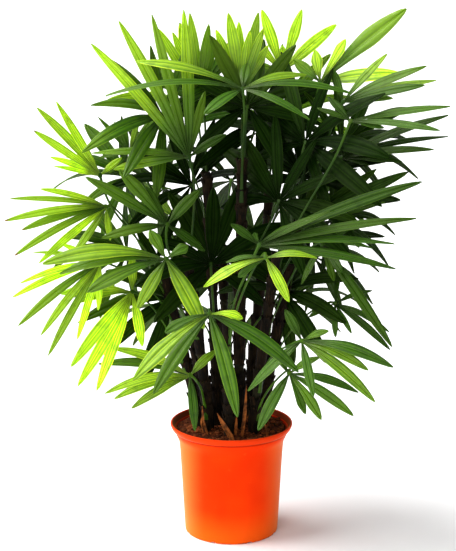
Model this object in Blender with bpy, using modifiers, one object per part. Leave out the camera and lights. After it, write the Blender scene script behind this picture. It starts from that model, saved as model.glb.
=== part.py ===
"""A potted lady palm: a flared nursery pot of peat, ten canes and their fan-shaped fronds.

Metres, +Z up. The origin is the centre of the pot's base, and the front view looks along +Y.
"""

import math
import random

import bpy
import bmesh
from mathutils import Matrix, Vector
from mathutils.bvhtree import BVHTree

# Pot
POT_HEIGHT = 0.225
RIM_RADIUS = 0.122
THROAT_RADIUS = 0.1035
BASE_RADIUS = 0.093
WALL = 0.0022
FLOOR = 0.004
# The rolled lip: how high its band is, how far that stands out, and its rounding
LIP_BAND = 0.013
LIP_STEP = 0.0085
LIP_ROUND = 0.003
LIP_WALL = 0.0035
# The flare: where it starts, how high its bend is and how far that leans out
FLARE_START = 0.186
FLARE_RISE = 0.010
FLARE_OUT = 0.005
BASE_ROUND = 0.0012
FOOT_BAND = 0.006
TURN_STEPS = 36
NOTCH_COUNT = 8
NOTCH_WIDTH = 0.016
NOTCH_DEPTH = 0.004
NOTCH_HEIGHT = 0.0028

# Peat
SOIL_TOP = 0.216
SOIL_EDGE = 0.1085
SOIL_EDGE_DROP = 0.0035
SOIL_LUMP = 0.0028
SOIL_RINGS = (0.088, 0.066, 0.044, 0.022, 0.0)
SEAT_GAP = 0.0003

# Canes: (base x, base y, top x, top y, top z, radius)
CANE_SIDES = 6
CANE_FOOT = 0.110
CANE_SPANS = 4
# How thick an internode is at its foot and at its sheath, and how much a cane thins to its top
CANE_WAIST = 0.96
CANE_SWELL = 1.08
CANE_TAPER = 0.3
CANES = (
    (-0.045, -0.030, -0.085, -0.085, 0.585, 0.0095),
    (-0.005, -0.058, -0.010, -0.120, 0.475, 0.0090),
    (0.043, -0.038, 0.085, -0.095, 0.585, 0.0095),
    (0.062, 0.008, 0.135, -0.010, 0.655, 0.0090),
    (0.014, -0.006, 0.020, -0.020, 0.755, 0.0105),
    (-0.026, 0.014, -0.048, 0.005, 0.725, 0.0100),
    (-0.066, -0.002, -0.135, -0.020, 0.545, 0.0088),
    (0.036, 0.044, 0.078, 0.095, 0.695, 0.0095),
    (-0.010, 0.064, -0.020, 0.130, 0.615, 0.0090),
    (-0.056, 0.040, -0.105, 0.090, 0.575, 0.0090),
)

# Fronds
HUB_RADIUS = 0.0065
HUB_HEIGHT = 0.0032
PETIOLE_WIDTH = 0.0052
PETIOLE_THICKNESS = 0.0040
CLASP_LENGTH = 0.026
BLADE_THICKNESS = 0.0016
BLADE_FOLD = 0.05
# How far a level blade rolls from its fan's plane to face upwards
FACE_UP = 0.45
CLEARANCE = 0.0008
LEAST_SPACING = math.radians(17)
# Along a blade: how far, how wide and how thick, as shares of the whole
BLADE_STATIONS = ((0.22, 0.72, 1.0), (0.52, 1.0, 1.0), (0.84, 0.80, 0.9), (1.0, 0.0, 0.0))
# Along a petiole from the hub to the cane: how far, how wide and how thick
PETIOLE_STATIONS = ((0.12, 1.2, 1.0), (0.45, 1.0, 1.0), (0.80, 1.15, 1.0))


def spray(x, z, middle, spread, reach, count):
    """Tips spaced evenly round a hub, every second one a little shorter."""
    tips = []
    for index in range(count):
        angle = math.radians(middle + spread * (index / (count - 1) - 0.5))
        length = reach * (1.0 if index % 2 else 0.88)
        tips.append((x + length * math.cos(angle), z + length * math.sin(angle)))
    return tips


# Each frond, in centimetres as seen from the front: the cane, the height of its foot on the cane,
# the hub (x, y, z), how fast the fan goes back (+) or forward (-) per cm to the right and per cm up,
# how much the blades arch, their width in millimetres, and the tips (x, z).
FRONDS = (
    (0, 57, (-8, -8, 77), (0.15, 0.2), 0.06, 23,
     [(-25, 99), (-21, 102), (-15, 103), (-9, 104), (-26, 78), (-22, 75), (-5, 89), (-1, 81)]),
    (4, 70, (2, -10, 90), (0.1, 1.6), 0.1, 33,
     [(-17, 94), (-23, 89), (22, 89), (14, 92), (14, 85), (-9, 93), (-5, 86), (3, 94)]),
    (4, 74, (2, 3, 88), (0.0, -0.1), 0.04, 24,
     [(-2, 103), (0, 101), (2, 100), (3, 103), (4, 101), (-3, 100), (7, 97)]),
    (7, 68, (10, 12, 91), (0.2, 0.3), 0.03, 30,
     [(6, 103), (14, 103), (21, 100), (11, 96), (4, 98), (2, 93)]),
    (3, 64, (17, 2, 90), (-0.3, 0.2), 0.04, 36,
     [(33, 104), (22, 98), (32, 92), (16, 96), (12, 94)]),
    (3, 60, (21, -5, 87), (-0.4, 0.3), 0.05, 22,
     [(29, 96), (36, 94), (37, 92), (36, 89), (30, 88), (19, 93)]),
    (2, 57, (22, -10, 84), (-0.3, 0.8), 0.04, 22,
     [(40, 87), (38, 82), (28, 83), (18, 88), (16, 86)]),
    (3, 53, (21, -2, 76), (-0.5, 0.8), 0.05, 22,
     [(40, 80), (38, 78), (32, 76), (26, 75), (17, 71), (19, 80), (41, 84)]),
    (2, 50, (14, -5, 64), (-0.3, -0.1), 0.03, 24,
     [(16, 73), (27, 75), (33, 75), (10, 68), (29, 69)]),
    (1, 46, (5, -22, 63), (-0.2, 0.6), 0.06, 22,
     [(18, 68), (35, 72), (33, 68), (29, 64), (29, 60), (4, 65), (11, 67), (0, 66)]),
    (1, 42, (6, -28, 62), (-0.1, 0.6), 0.14, 25,
     [(15, 62), (-5, 57), (1, 59), (10, 55), (-1, 61)]),
    (2, 45, (17, -12, 61), (-0.4, 0.6), 0.12, 20,
     [(21, 56), (19, 55), (29, 45), (26, 61), (22, 64), (13, 54)]),
    (3, 37, (20, -5, 48), (-0.5, 0.5), 0.12, 17,
     [(30, 44), (30, 41), (23, 43), (20, 42), (15, 45), (27, 51), (21, 54)]),
    (2, 33, (13, -18, 44), (-0.3, 0.6), 0.12, 25,
     [(29, 40), (26, 35), (25, 40), (18, 46), (15, 35), (3, 35), (10, 49)]),
    (2, 27, (11, -12, 36), (-0.1, 0.5), 0.14, 25,
     [(5, 26), (14, 29), (17, 28), (23, 29), (24, 33), (6, 40), (17, 39)]),
    (1, 35, (-4, -25, 51), (0.1, 0.5), 0.14, 31,
     [(-18, 41), (-14, 38), (1, 34), (12, 41), (-12, 48), (2, 50)]),
    (0, 27, (-8, -10, 35), (0.3, 0.4), 0.14, 24,
     [(-19, 30), (-22, 32), (-24, 33), (-25, 39), (-23, 41), (-7, 25), (-3, 39)]),
    (0, 44, (-12, -20, 60), (0.2, 0.5), 0.13, 33,
     [(-5, 48), (-17, 52), (-31, 59), (-34, 60), (-8, 62), (-15, 65), (-26, 55)]),
    (6, 36, (-19, -8, 51), (0.5, 0.4), 0.12, 25,
     [(-30, 39), (-29, 36), (-26, 35), (-32, 52), (-30, 50), (-17, 41), (-19, 58)]),
    (6, 44, (-25, -10, 57), (0.5, 0.6), 0.08, 18,
     [(-39, 55), (-40, 53), (-39, 48), (-35, 46), (-34, 43), (-37, 60), (-32, 61), (-25, 49), (-29, 45)]),
    (6, 49, (-24, -5, 67), (0.5, 0.6), 0.06, 18,
     [(-41, 70), (-42, 66), (-39, 65), (-36, 71), (-40, 60), (-36, 59), (-31, 59), (-23, 61)]),
    (6, 53, (-25, -5, 73), (0.5, 0.3), 0.04, 19,
     [(-35, 87), (-33, 87), (-37, 82), (-34, 77), (-33, 76), (-21, 76)]),
    (0, 51, (-12, -13, 65), (0.2, 0.3), 0.08, 29,
     [(-27, 74), (-16, 72), (-21, 75), (-24, 63), (-6, 71), (-5, 60)]),
    (9, 56, (-20, 5, 76), (0.2, 0.1), 0.08, 15,
     [(-26, 83), (-23, 82), (-21, 82), (-18, 83), (-14, 84), (-26, 75), (-24, 72)]),
    (5, 71, (-6, 6, 87), (0.2, -0.1), 0.06, 24,
     [(-14, 100), (-11, 99), (-8, 103), (-6, 101), (-3, 98), (-17, 94), (-14, 89), (-1, 94)]),
    (5, 66, (-13, -2, 84), (0.9, 0.4), 0.12, 28, spray(-13, 84, 150, 230, 15, 8)),
    (4, 52, (9, -5, 68), (-0.7, 0.3), 0.10, 33, spray(9, 68, 60, 260, 16, 9)),
    (2, 56, (14, -3, 79), (-0.9, 0.3), 0.10, 33, spray(14, 79, 70, 280, 17, 9)),
    (5, 42, (-4, -6, 56), (0.6, 0.3), 0.12, 33, spray(-4, 56, 90, 262, 16, 9)),
    (4, 64, (3, 2, 84), (0.0, 0.2), 0.10, 33, spray(3, 84, 85, 270, 15, 9)),
    (4, 38, (10, 2, 49), (-0.6, 0.4), 0.14, 31, spray(10, 49, 50, 280, 15, 9)),
    (5, 40, (-12, 0, 49), (0.8, 0.4), 0.14, 32, spray(-12, 49, 150, 280, 16, 9)),
    (8, 60, (-7, 18, 83), (0.1, -0.4), 0.12, 26, spray(-7, 83, 100, 220, 18, 7)),
    (7, 66, (9, 22, 80), (-0.2, -0.5), 0.16, 26, spray(9, 80, 70, 230, 18, 8)),
    (8, 52, (0, 26, 67), (0.0, -0.8), 0.22, 28, spray(0, 67, -90, 250, 18, 8)),
    (9, 50, (-14, 22, 66), (0.4, -0.7), 0.20, 27, spray(-14, 66, 190, 230, 17, 7)),
    (7, 54, (13, 22, 66), (-0.4, -0.7), 0.20, 27, spray(13, 66, -10, 230, 17, 8)),
    (7, 60, (22, 13, 76), (-0.9, -0.4), 0.16, 26, spray(22, 76, 10, 230, 15, 9)),
    (9, 53, (-21, 13, 70), (0.9, -0.4), 0.16, 26, spray(-21, 70, 200, 220, 14, 8)),
    (3, 46, (20, 8, 62), (-1.0, -0.2), 0.20, 26, spray(20, 62, -20, 220, 13, 8)),
    (9, 42, (-21, 9, 55), (1.0, -0.2), 0.20, 26, spray(-21, 55, 200, 220, 14, 8)),
    (8, 38, (0, 24, 49), (0.0, -0.8), 0.22, 27, spray(0, 49, -90, 240, 17, 7)),
    (9, 32, (-13, 18, 42), (0.5, -0.7), 0.22, 26, spray(-13, 42, 215, 220, 14, 8)),
    (7, 34, (12, 19, 43), (-0.4, -0.7), 0.22, 26, spray(12, 43, -50, 230, 15, 8)),
    (7, 44, (17, 15, 53), (-0.9, -0.3), 0.20, 26, spray(17, 53, -20, 220, 14, 8)),
    (4, 64, (5, 10, 81), (0.7, 0.1), 0.10, 32, spray(5, 81, 60, 290, 16, 9)),
    (5, 60, (-8, 8, 69), (0.8, -0.2), 0.12, 31, spray(-8, 69, 140, 280, 16, 9)),
    (7, 60, (14, 6, 71), (-0.9, 0.1), 0.12, 32, spray(14, 71, 60, 290, 16, 9)),
)


def clear_scene():
    for obj in list(bpy.data.objects):
        bpy.data.objects.remove(obj, do_unlink=True)


def make_collection(name):
    collection = bpy.data.collections.new(name)
    bpy.context.scene.collection.children.link(collection)
    return collection


def make_material(name, colour, roughness):
    material = bpy.data.materials.new(name)
    material.use_nodes = True
    shader = material.node_tree.nodes["Principled BSDF"]
    shader.inputs["Base Color"].default_value = (*colour, 1.0)
    shader.inputs["Roughness"].default_value = roughness
    shader.inputs["Metallic"].default_value = 0.0
    return material


def add_object(name, bm, collection, material):
    mesh = bpy.data.meshes.new(name)
    bm.to_mesh(mesh)
    bm.free()
    if material:
        mesh.materials.append(material)
    obj = bpy.data.objects.new(name, mesh)
    collection.objects.link(obj)
    return obj


def add_cutter(name, bm, collection):
    cutter = add_object(name, bm, collection, None)
    cutter.hide_render = True
    cutter.display_type = "WIRE"
    return cutter


def cut(obj, cutters):
    modifier = obj.modifiers.new("Cut", "BOOLEAN")
    modifier.operation = "DIFFERENCE"
    modifier.operand_type = "COLLECTION"
    modifier.collection = cutters


# Pot


def pot_profile():
    """(radius, height) pairs from the middle of the inner floor, over the lip and down to the base."""
    band_foot = POT_HEIGHT - LIP_BAND
    knee = FLARE_START + FLARE_RISE
    inside = (
        (0.0, FLOOR),
        (BASE_RADIUS - WALL, FLOOR),
        (THROAT_RADIUS - WALL, FLARE_START),
        (THROAT_RADIUS + FLARE_OUT - WALL, knee + WALL / 2),
        (RIM_RADIUS - LIP_STEP - 2 * WALL, band_foot),
        (RIM_RADIUS - LIP_WALL, POT_HEIGHT - LIP_ROUND / 3),
    )
    lip = (
        (RIM_RADIUS - LIP_ROUND * 0.7, POT_HEIGHT),
        (RIM_RADIUS - LIP_ROUND * 0.15, POT_HEIGHT - LIP_ROUND * 0.2),
        (RIM_RADIUS, POT_HEIGHT - LIP_ROUND),
        (RIM_RADIUS - LIP_STEP * 0.6, band_foot),
        (RIM_RADIUS - LIP_STEP, band_foot - LIP_ROUND / 3),
    )
    outside = (
        (THROAT_RADIUS + FLARE_OUT, knee),
        (THROAT_RADIUS + FLARE_OUT * 0.16, FLARE_START - FLARE_RISE * 0.2),
        (THROAT_RADIUS, FLARE_START - FLARE_RISE),
        (BASE_RADIUS + BASE_ROUND / 2, FOOT_BAND),
        (BASE_RADIUS, BASE_ROUND),
        (BASE_RADIUS - BASE_ROUND, 0.0),
        (0.0, 0.0),
    )
    return inside + lip + outside


def make_pot(parts, cutters):
    bm = bmesh.new()
    points = [bm.verts.new((radius, 0.0, height)) for radius, height in pot_profile()]
    for first, second in zip(points, points[1:]):
        bm.edges.new((first, second))
    pot = add_object("pot", bm, parts, make_material("pot_plastic", (0.85, 0.10, 0.01), 0.35))
    screw = pot.modifiers.new("Turn", "SCREW")
    screw.steps = TURN_STEPS
    screw.render_steps = TURN_STEPS
    screw.use_merge_vertices = True
    screw.merge_threshold = 0.00005
    for index in range(NOTCH_COUNT):
        add_cutter(f"notch_{index + 1:02d}", notch_block(index), cutters)
    cut(pot, cutters)


def notch_block(index):
    """A drainage notch in the bottom edge, open below and outwards."""
    bm = bmesh.new()
    bmesh.ops.create_cube(bm, size=1.0)
    depth = 2 * NOTCH_DEPTH
    bmesh.ops.scale(bm, verts=bm.verts, vec=(depth, NOTCH_WIDTH, 2 * NOTCH_HEIGHT))
    bmesh.ops.translate(bm, verts=bm.verts, vec=(BASE_RADIUS, 0.0, 0.0))
    turn = Matrix.Rotation(2 * math.pi * (index + 0.5) / NOTCH_COUNT, 4, "Z")
    bmesh.ops.transform(bm, matrix=turn, verts=bm.verts)
    return bm


# Peat


def soil_height(x, y):
    """The lumpy surface, level and lowest at the pot's wall."""
    lumps = math.sin(95 * x + 1.3) * math.cos(88 * y - 0.4) + 0.6 * math.sin(170 * y + 120 * x)
    edge = (math.hypot(x, y) / SOIL_EDGE) ** 4
    return SOIL_TOP + SOIL_LUMP * lumps * (1 - edge) - SOIL_EDGE_DROP * edge


def make_soil(parts, cutters):
    gap = WALL + SEAT_GAP
    rings = [
        (0.0, FLOOR + SEAT_GAP),
        (BASE_RADIUS - gap, FLOOR + SEAT_GAP),
        (THROAT_RADIUS - 1.1 * gap, FLARE_START),
        (SOIL_EDGE, SOIL_TOP),
    ]
    rings += [(radius, SOIL_TOP) for radius in SOIL_RINGS]
    bm = bmesh.new()
    points = [bm.verts.new((radius, 0.0, height)) for radius, height in rings]
    edges = [bm.edges.new(pair) for pair in zip(points, points[1:])]
    bmesh.ops.spin(
        bm,
        geom=points + edges,
        cent=(0, 0, 0),
        axis=(0, 0, 1),
        angle=2 * math.pi,
        steps=TURN_STEPS,
        use_merge=True,
    )
    bmesh.ops.remove_doubles(bm, verts=bm.verts, dist=0.00001)
    for vert in bm.verts:
        if vert.co.z > FLARE_START + FLARE_RISE:
            vert.co.z = soil_height(vert.co.x, vert.co.y)
    bmesh.ops.triangulate(bm, faces=bm.faces)
    bmesh.ops.recalc_face_normals(bm, faces=bm.faces)
    soil = add_object("soil", bm, parts, make_material("peat", (0.035, 0.018, 0.008), 0.95))
    for index, cane in enumerate(CANES):
        add_cutter(f"cane_hole_{index + 1:02d}", hole_for(cane), cutters)
    cut(soil, cutters)


def hole_for(cane):
    """A plain hole, a seat gap wider and deeper than the cane's foot."""
    x, y, radius = cane[0], cane[1], cane[5]
    top = SOIL_TOP + 0.03
    foot = CANE_FOOT - SEAT_GAP
    bm = bmesh.new()
    wide = radius * CANE_SWELL + SEAT_GAP / math.cos(math.pi / CANE_SIDES)
    bmesh.ops.create_cone(
        bm, cap_ends=True, segments=CANE_SIDES, radius1=wide, radius2=wide, depth=top - foot
    )
    bmesh.ops.translate(bm, verts=bm.verts, vec=(x, y, (top + foot) / 2))
    return bm


# Canes


def cane_point(cane, height):
    """Where a cane's axis is at a height: upright in the peat, then leaning out in a slow curve."""
    base = Vector((cane[0], cane[1], 0.0))
    top = Vector((cane[2], cane[3], 0.0))
    share = max(0.0, (height - SOIL_TOP - 0.01) / (cane[4] - SOIL_TOP - 0.01))
    point = base.lerp(top, share**1.15)
    point.z = height
    return point


def cane_direction(cane, height):
    return (cane_point(cane, height + 0.004) - cane_point(cane, height - 0.004)).normalized()


def cane_rings(cane):
    """(centre, radius) up a cane: each internode swells a little to its sheath and steps in again."""
    radius = cane[5]
    start = SOIL_TOP + 0.012
    rings = [(cane_point(cane, height), radius * CANE_SWELL) for height in (CANE_FOOT, start - 0.003)]
    for index in range(CANE_SPANS):
        low = start + (cane[4] - start) * index / CANE_SPANS
        high = start + (cane[4] - start) * (index + 0.94) / CANE_SPANS
        thin = 1.0 - CANE_TAPER * index / CANE_SPANS
        rings.append((cane_point(cane, low), radius * thin * CANE_WAIST))
        rings.append((cane_point(cane, high), radius * thin * CANE_SWELL))
    return rings


def ring_points(centre, radius):
    step = 2 * math.pi / CANE_SIDES
    return [
        centre + Vector((radius * math.sin(step * side), radius * math.cos(step * side), 0.0))
        for side in range(CANE_SIDES)
    ]


def side_of(away, count):
    """Which of the equal steps round the vertical, from +Y, an offset lies at."""
    return round(math.atan2(away.x, away.y) * count / (2 * math.pi)) % count


def make_cane(index, cane, parts, material):
    rings = cane_rings(cane)
    bm = bmesh.new()
    bmesh.ops.create_cone(bm, cap_ends=True, segments=CANE_SIDES, radius1=1, radius2=1, depth=1)
    for vert in bm.verts:
        centre, radius = rings[0] if vert.co.z < 0 else rings[1]
        vert.co = ring_points(centre, radius)[side_of(vert.co, CANE_SIDES)]
    top = max(bm.faces, key=lambda face: face.calc_center_median().z)
    for centre, radius in rings[2:]:
        top = bmesh.ops.extrude_discrete_faces(bm, faces=[top])["faces"][0]
        middle = top.calc_center_median()
        for vert in top.verts:
            vert.co = ring_points(centre, radius)[side_of(vert.co - middle, CANE_SIDES)]
    bmesh.ops.recalc_face_normals(bm, faces=bm.faces)
    add_object(f"cane_{index + 1:02d}", bm, parts, material)


def cane_solid(cane):
    """The cane's rings as points and triangles, to keep petioles and blades clear of it."""
    points = []
    for centre, radius in cane_rings(cane)[1:]:
        points += ring_points(centre, radius)
    return points, tube_faces(len(points) // CANE_SIDES, CANE_SIDES)


def tube_faces(rings, sides):
    """Triangles of a closed tube whose points come ring by ring."""
    faces = []
    for ring in range(rings - 1):
        for side in range(sides):
            a = ring * sides + side
            b = ring * sides + (side + 1) % sides
            faces += [(a, b, b + sides), (a, b + sides, a + sides)]
    last = (rings - 1) * sides
    for side in range(1, sides - 1):
        faces.append((0, side + 1, side))
        faces.append((last, last + side, last + side + 1))
    return faces


# Room: what is already standing, so that nothing grows through it


class Room:
    """Every solid placed so far, each with its box."""

    def __init__(self):
        self.solids = []

    def add(self, points, faces, owner):
        self.solids.append((owner, *box_of(points), BVHTree.FromPolygons(points, faces)))

    def is_clear(self, points, faces, owner=None):
        low, high = box_of(points)
        tree = None
        for other, other_low, other_high, other_tree in self.solids:
            if other == owner and owner is not None:
                continue
            if any(low[i] > other_high[i] or high[i] < other_low[i] for i in range(3)):
                continue
            tree = tree or BVHTree.FromPolygons(points, faces)
            if tree.overlap(other_tree):
                return False
        return True


def box_of(points):
    low = [min(point[i] for point in points) for i in range(3)]
    high = [max(point[i] for point in points) for i in range(3)]
    return low, high


def pot_zone():
    """A plain drum just outside the pot and peat."""
    points = []
    for height in (0.0, POT_HEIGHT + 0.004):
        for step in range(24):
            angle = 2 * math.pi * step / 24
            reach = RIM_RADIUS + 0.005
            points.append(Vector((reach * math.cos(angle), reach * math.sin(angle), height)))
    return points, tube_faces(2, 24)


# Fronds


def cross_section(centre, side, up, width, thickness, fold, fat=0.0):
    """Low edge, top, high edge and keel of a flat diamond, its middle sunk by the fold."""
    half = width / 2 + fat
    middle = centre - up * fold
    return [
        centre - side * half,
        middle + up * (thickness / 2 + fat),
        centre + side * half,
        middle - up * (thickness / 2 + fat),
    ]


def curve_point(controls, share):
    """A point on the Bezier curve of these controls."""
    points = list(controls)
    while len(points) > 1:
        points = [first.lerp(second, share) for first, second in zip(points, points[1:])]
    return points[0]


def curve_direction(controls, share):
    ahead = curve_point(controls, min(1.0, share + 0.01))
    behind = curve_point(controls, max(0.0, share - 0.01))
    return (ahead - behind).normalized()


def blade_sections(fan, corner, tip, width, fat=0.0):
    """The sections of one blade from its corner of the hub to its tip."""
    root = fan["corners"][corner]
    chord = tip - root
    length = chord.length
    level = 1.0 - abs(chord.z) / length
    face = fan["normal"].lerp(Vector((0, 0, 1)), FACE_UP * level)
    side = face.cross(chord).normalized()
    lift = chord.cross(side).normalized()
    rise = Vector((0, 0, 1)) - chord * (chord.z / length**2)
    arch = (lift * 0.8 + rise * 0.6) * length * fan["arch"] * (0.4 + 0.9 * level)
    controls = (root, root + chord * 0.45 + arch, tip)
    sections = []
    for share, wide, thick in BLADE_STATIONS:
        along = curve_direction(controls, share)
        up = along.cross(side).normalized()
        across = width * wide
        if share == BLADE_STATIONS[0][0]:
            across = min(across, fan["room"][corner] * length * share)
        thickness = BLADE_THICKNESS * thick
        centre = curve_point(controls, share)
        sections.append(cross_section(centre, side, up, across, thickness, across * BLADE_FOLD, fat))
    return sections


def hub_section(fan, corner, fat=0.0):
    """The diamond at a corner of the hub: half-way to its neighbours, and its top and bottom."""
    angles = fan["angles"]
    count = len(angles)
    here = fan_point(fan, angles[corner])
    before = fan_point(fan, angles[(corner - 1) % count])
    after = fan_point(fan, angles[(corner + 1) % count])
    up = fan["normal"] * (HUB_HEIGHT / 2 + fat)
    return [(here + before) / 2, here + up, (here + after) / 2, here - up]


def fan_point(fan, angle):
    return fan["hub"] + (fan["right"] * math.cos(angle) + fan["ahead"] * math.sin(angle)) * HUB_RADIUS


def tube_points(sections):
    return [point for section in sections for point in section]


def diamond_faces(rings):
    """Triangles of a closed tube of diamonds, each side split from its middle to the edge ahead."""
    faces = [(0, 3, 1), (1, 3, 2)]
    for low in range(0, 4 * rings - 4, 4):
        for edge, middle in ((0, 1), (2, 1), (2, 3), (0, 3)):
            old_edge, old_middle = low + edge, low + middle
            faces += [(old_edge, old_middle, old_edge + 4), (old_middle, old_middle + 4, old_edge + 4)]
    last = 4 * rings - 4
    return faces + [(last, last + 1, last + 3), (last + 1, last + 2, last + 3)]


def shorten_start(sections):
    """The same run of sections, begun a fifth of the way along the first one."""
    start = [first.lerp(second, 0.2) for first, second in zip(sections[0], sections[1])]
    return [start] + sections[1:]


def spread_angles(angles):
    """Push neighbours that are too close apart, evenly, keeping their order."""
    angles = list(angles)
    for _ in range(200):
        for index in range(len(angles) - 1):
            lack = LEAST_SPACING - (angles[index + 1] - angles[index])
            if lack > 0:
                angles[index] -= lack / 2
                angles[index + 1] += lack / 2
    return angles


def lay_out_fan(frond, shift):
    """The hub's place and directions, its corners and which tip each corner serves."""
    _, _, hub, (back_right, back_up), arch, width, tips = frond
    hub = Vector(hub) / 100 + Vector((0, 0, shift))
    normal = Vector((back_right, -1.0, back_up)).normalized()
    if normal.z < 0:
        normal = -normal
    right = Vector((1.0, back_right, 0.0)).normalized()
    ahead = normal.cross(right)
    fan = {"hub": hub, "normal": normal, "right": right, "ahead": ahead}
    fan.update(arch=arch, width=width / 1000)
    places = []
    for x, z in tips:
        depth = hub.y + back_right * (x / 100 - hub.x) + back_up * (z / 100 + shift - hub.z)
        tip = Vector((x / 100, depth, z / 100 + shift))
        away = tip - hub
        places.append((math.atan2(away.dot(ahead), away.dot(right)), tip))
    places.sort(key=lambda place: place[0])
    return set_corners(fan, places)


def set_corners(fan, places):
    """Turn the list so that the widest gap closes it, space the blades and put the petiole in the gap."""
    count = len(places)
    turn = 2 * math.pi
    gaps = [(places[(i + 1) % count][0] - places[i][0]) % turn for i in range(count)]
    start = (gaps.index(max(gaps)) + 1) % count
    ordered = places[start:] + places[:start]
    angles = [ordered[0][0] + (angle - ordered[0][0]) % turn for angle, _ in ordered]
    angles = spread_angles(angles)
    gap = turn - (angles[-1] - angles[0])
    stalk = angles[-1] + gap / 2
    filler = min(gap / 4, math.radians(32))
    fan["angles"] = angles + [stalk - filler, stalk, stalk + filler]
    fan["tips"] = [tip for _, tip in ordered]
    fan["stalk"] = count + 1
    fan["corners"] = [fan_point(fan, angle) for angle in fan["angles"]]
    fan["room"] = [0.86 * narrowest(angles, index) for index in range(count)]
    return fan


def narrowest(angles, index):
    """The angle to the nearer neighbour of a blade."""
    neighbours = [other for other in (index - 1, index + 1) if 0 <= other < len(angles)]
    nearest_gap = min(abs(angles[index] - angles[other]) for other in neighbours)
    return min(nearest_gap, math.radians(40))


def petiole_sections(fan, cane, foot, turn, bow, seat, fat=0.0):
    """The petiole from the hub down to a clasp that lies along the cane."""
    angle = fan["angles"][fan["stalk"]]
    away = fan["right"] * math.cos(angle) + fan["ahead"] * math.sin(angle)
    start = fan["corners"][fan["stalk"]]
    axis = cane_direction(cane, foot)
    axis_point = cane_point(cane, foot)
    outward = start - axis_point
    outward -= axis * outward.dot(axis)
    outward = (Matrix.Rotation(turn, 3, axis) @ outward).normalized()
    offset = cane[5] + PETIOLE_THICKNESS * 0.5 + seat
    end = axis_point + outward * offset
    reach = (start - end).length
    sideways = axis.cross(outward) * bow
    controls = (
        start,
        start + away * reach * 0.22 - Vector((0, 0, reach * 0.16)) + sideways,
        end + axis * reach * 0.45 + outward * reach * 0.10 + sideways,
        end,
    )
    side_start = fan["normal"].cross(away).normalized()
    side_end = outward.cross(axis)
    if side_start.dot(side_end) < 0:
        side_end = -side_end
    sections = []
    for share, wide, thick in PETIOLE_STATIONS:
        along = curve_direction(controls, share)
        side = side_start.lerp(side_end, share)
        side = (side - along * side.dot(along)).normalized()
        up = along.cross(side)
        width, thickness = PETIOLE_WIDTH * wide, PETIOLE_THICKNESS * thick
        sections.append(cross_section(curve_point(controls, share), side, up, width, thickness, 0.0, fat))
    up = -axis.cross(side_end)
    for point, wide, thick in ((end, 1.7, 0.9), (clasp_end(cane, foot, outward, offset), 2.0, 0.6)):
        width, thickness = PETIOLE_WIDTH * wide, PETIOLE_THICKNESS * thick
        sections.append(cross_section(point, side_end, up, width, thickness, 0.0, fat))
    return sections


def clasp_end(cane, foot, outward, offset):
    return cane_point(cane, foot - CLASP_LENGTH) + outward * offset


def petiole_trials():
    """(hub shift, foot shift, turn, bow) to try, the smallest changes first."""
    trials = []
    for hub_shift in (0.0, 0.012, -0.012, 0.024):
        for foot_shift in (0.0, -0.012, 0.012, -0.024, 0.024, -0.036):
            for turn in (0, 25, -25, 50, -50, 80, -80, 115, -115):
                for bow in (0.0, 0.02, -0.02, 0.045, -0.045, 0.07, -0.07):
                    cost = 40 * abs(hub_shift) + 25 * abs(foot_shift) + abs(turn) / 60 + 20 * abs(bow)
                    trials.append((cost, hub_shift, foot_shift, math.radians(turn), bow))
    trials.sort(key=lambda trial: trial[0])
    return trials


def seat_petiole(fan, cane, foot, turn, bow, room):
    """The closest seat to the cane that is clear, or None."""
    faces = tube_faces(len(PETIOLE_STATIONS) + 3, 4)
    for step in range(20):
        seat = -0.0045 + 0.0003 * step
        sections = petiole_sections(fan, cane, foot, turn, bow, seat, SEAT_GAP)
        points = tube_points([hub_section(fan, fan["stalk"], SEAT_GAP)] + sections)
        if room.is_clear(points, faces):
            return petiole_sections(fan, cane, foot, turn, bow, seat)
    return None


def hub_solid(fan, fat=0.0):
    """The hub's prism as points and triangles."""
    count = len(fan["angles"])
    rings = []
    for sign in (-1, 1):
        for point in fan["corners"]:
            away = (point - fan["hub"]).normalized() * fat
            rings.append(point + away + fan["normal"] * sign * (HUB_HEIGHT / 2 + fat))
    return rings, tube_faces(2, count)


def place_petiole(name, frond, room):
    """The first trial whose hub and petiole are clear of everything standing."""
    cane = CANES[frond[0]]
    for _, hub_shift, foot_shift, turn, bow in petiole_trials():
        fan = lay_out_fan(frond, hub_shift)
        if not room.is_clear(*hub_solid(fan, 0.004)):
            continue
        foot = min(frond[1] / 100 + foot_shift, cane[4] - 0.004)
        sections = seat_petiole(fan, cane, foot, turn, bow, room)
        if sections:
            break
    else:
        raise RuntimeError(f"{name}: no clear way for the petiole")
    fan["petiole"] = [hub_section(fan, fan["stalk"])] + sections
    room.add(*hub_solid(fan), name)
    room.add(tube_points(fan["petiole"]), tube_faces(len(fan["petiole"]), 4), name)
    return fan


def blade_trials():
    """(sideways, up, length share) changes to a blade's tip, the smallest first."""
    trials = [(0.0, 0.0, 1.0)]
    for length in (1.0, 0.85, 0.7, 0.55):
        for ring in range(1, 10):
            for step in range(8):
                angle = math.pi / 2 + step * math.pi / 4
                trials.append((0.01 * ring * math.cos(angle), 0.01 * ring * math.sin(angle), length))
    return trials


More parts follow.
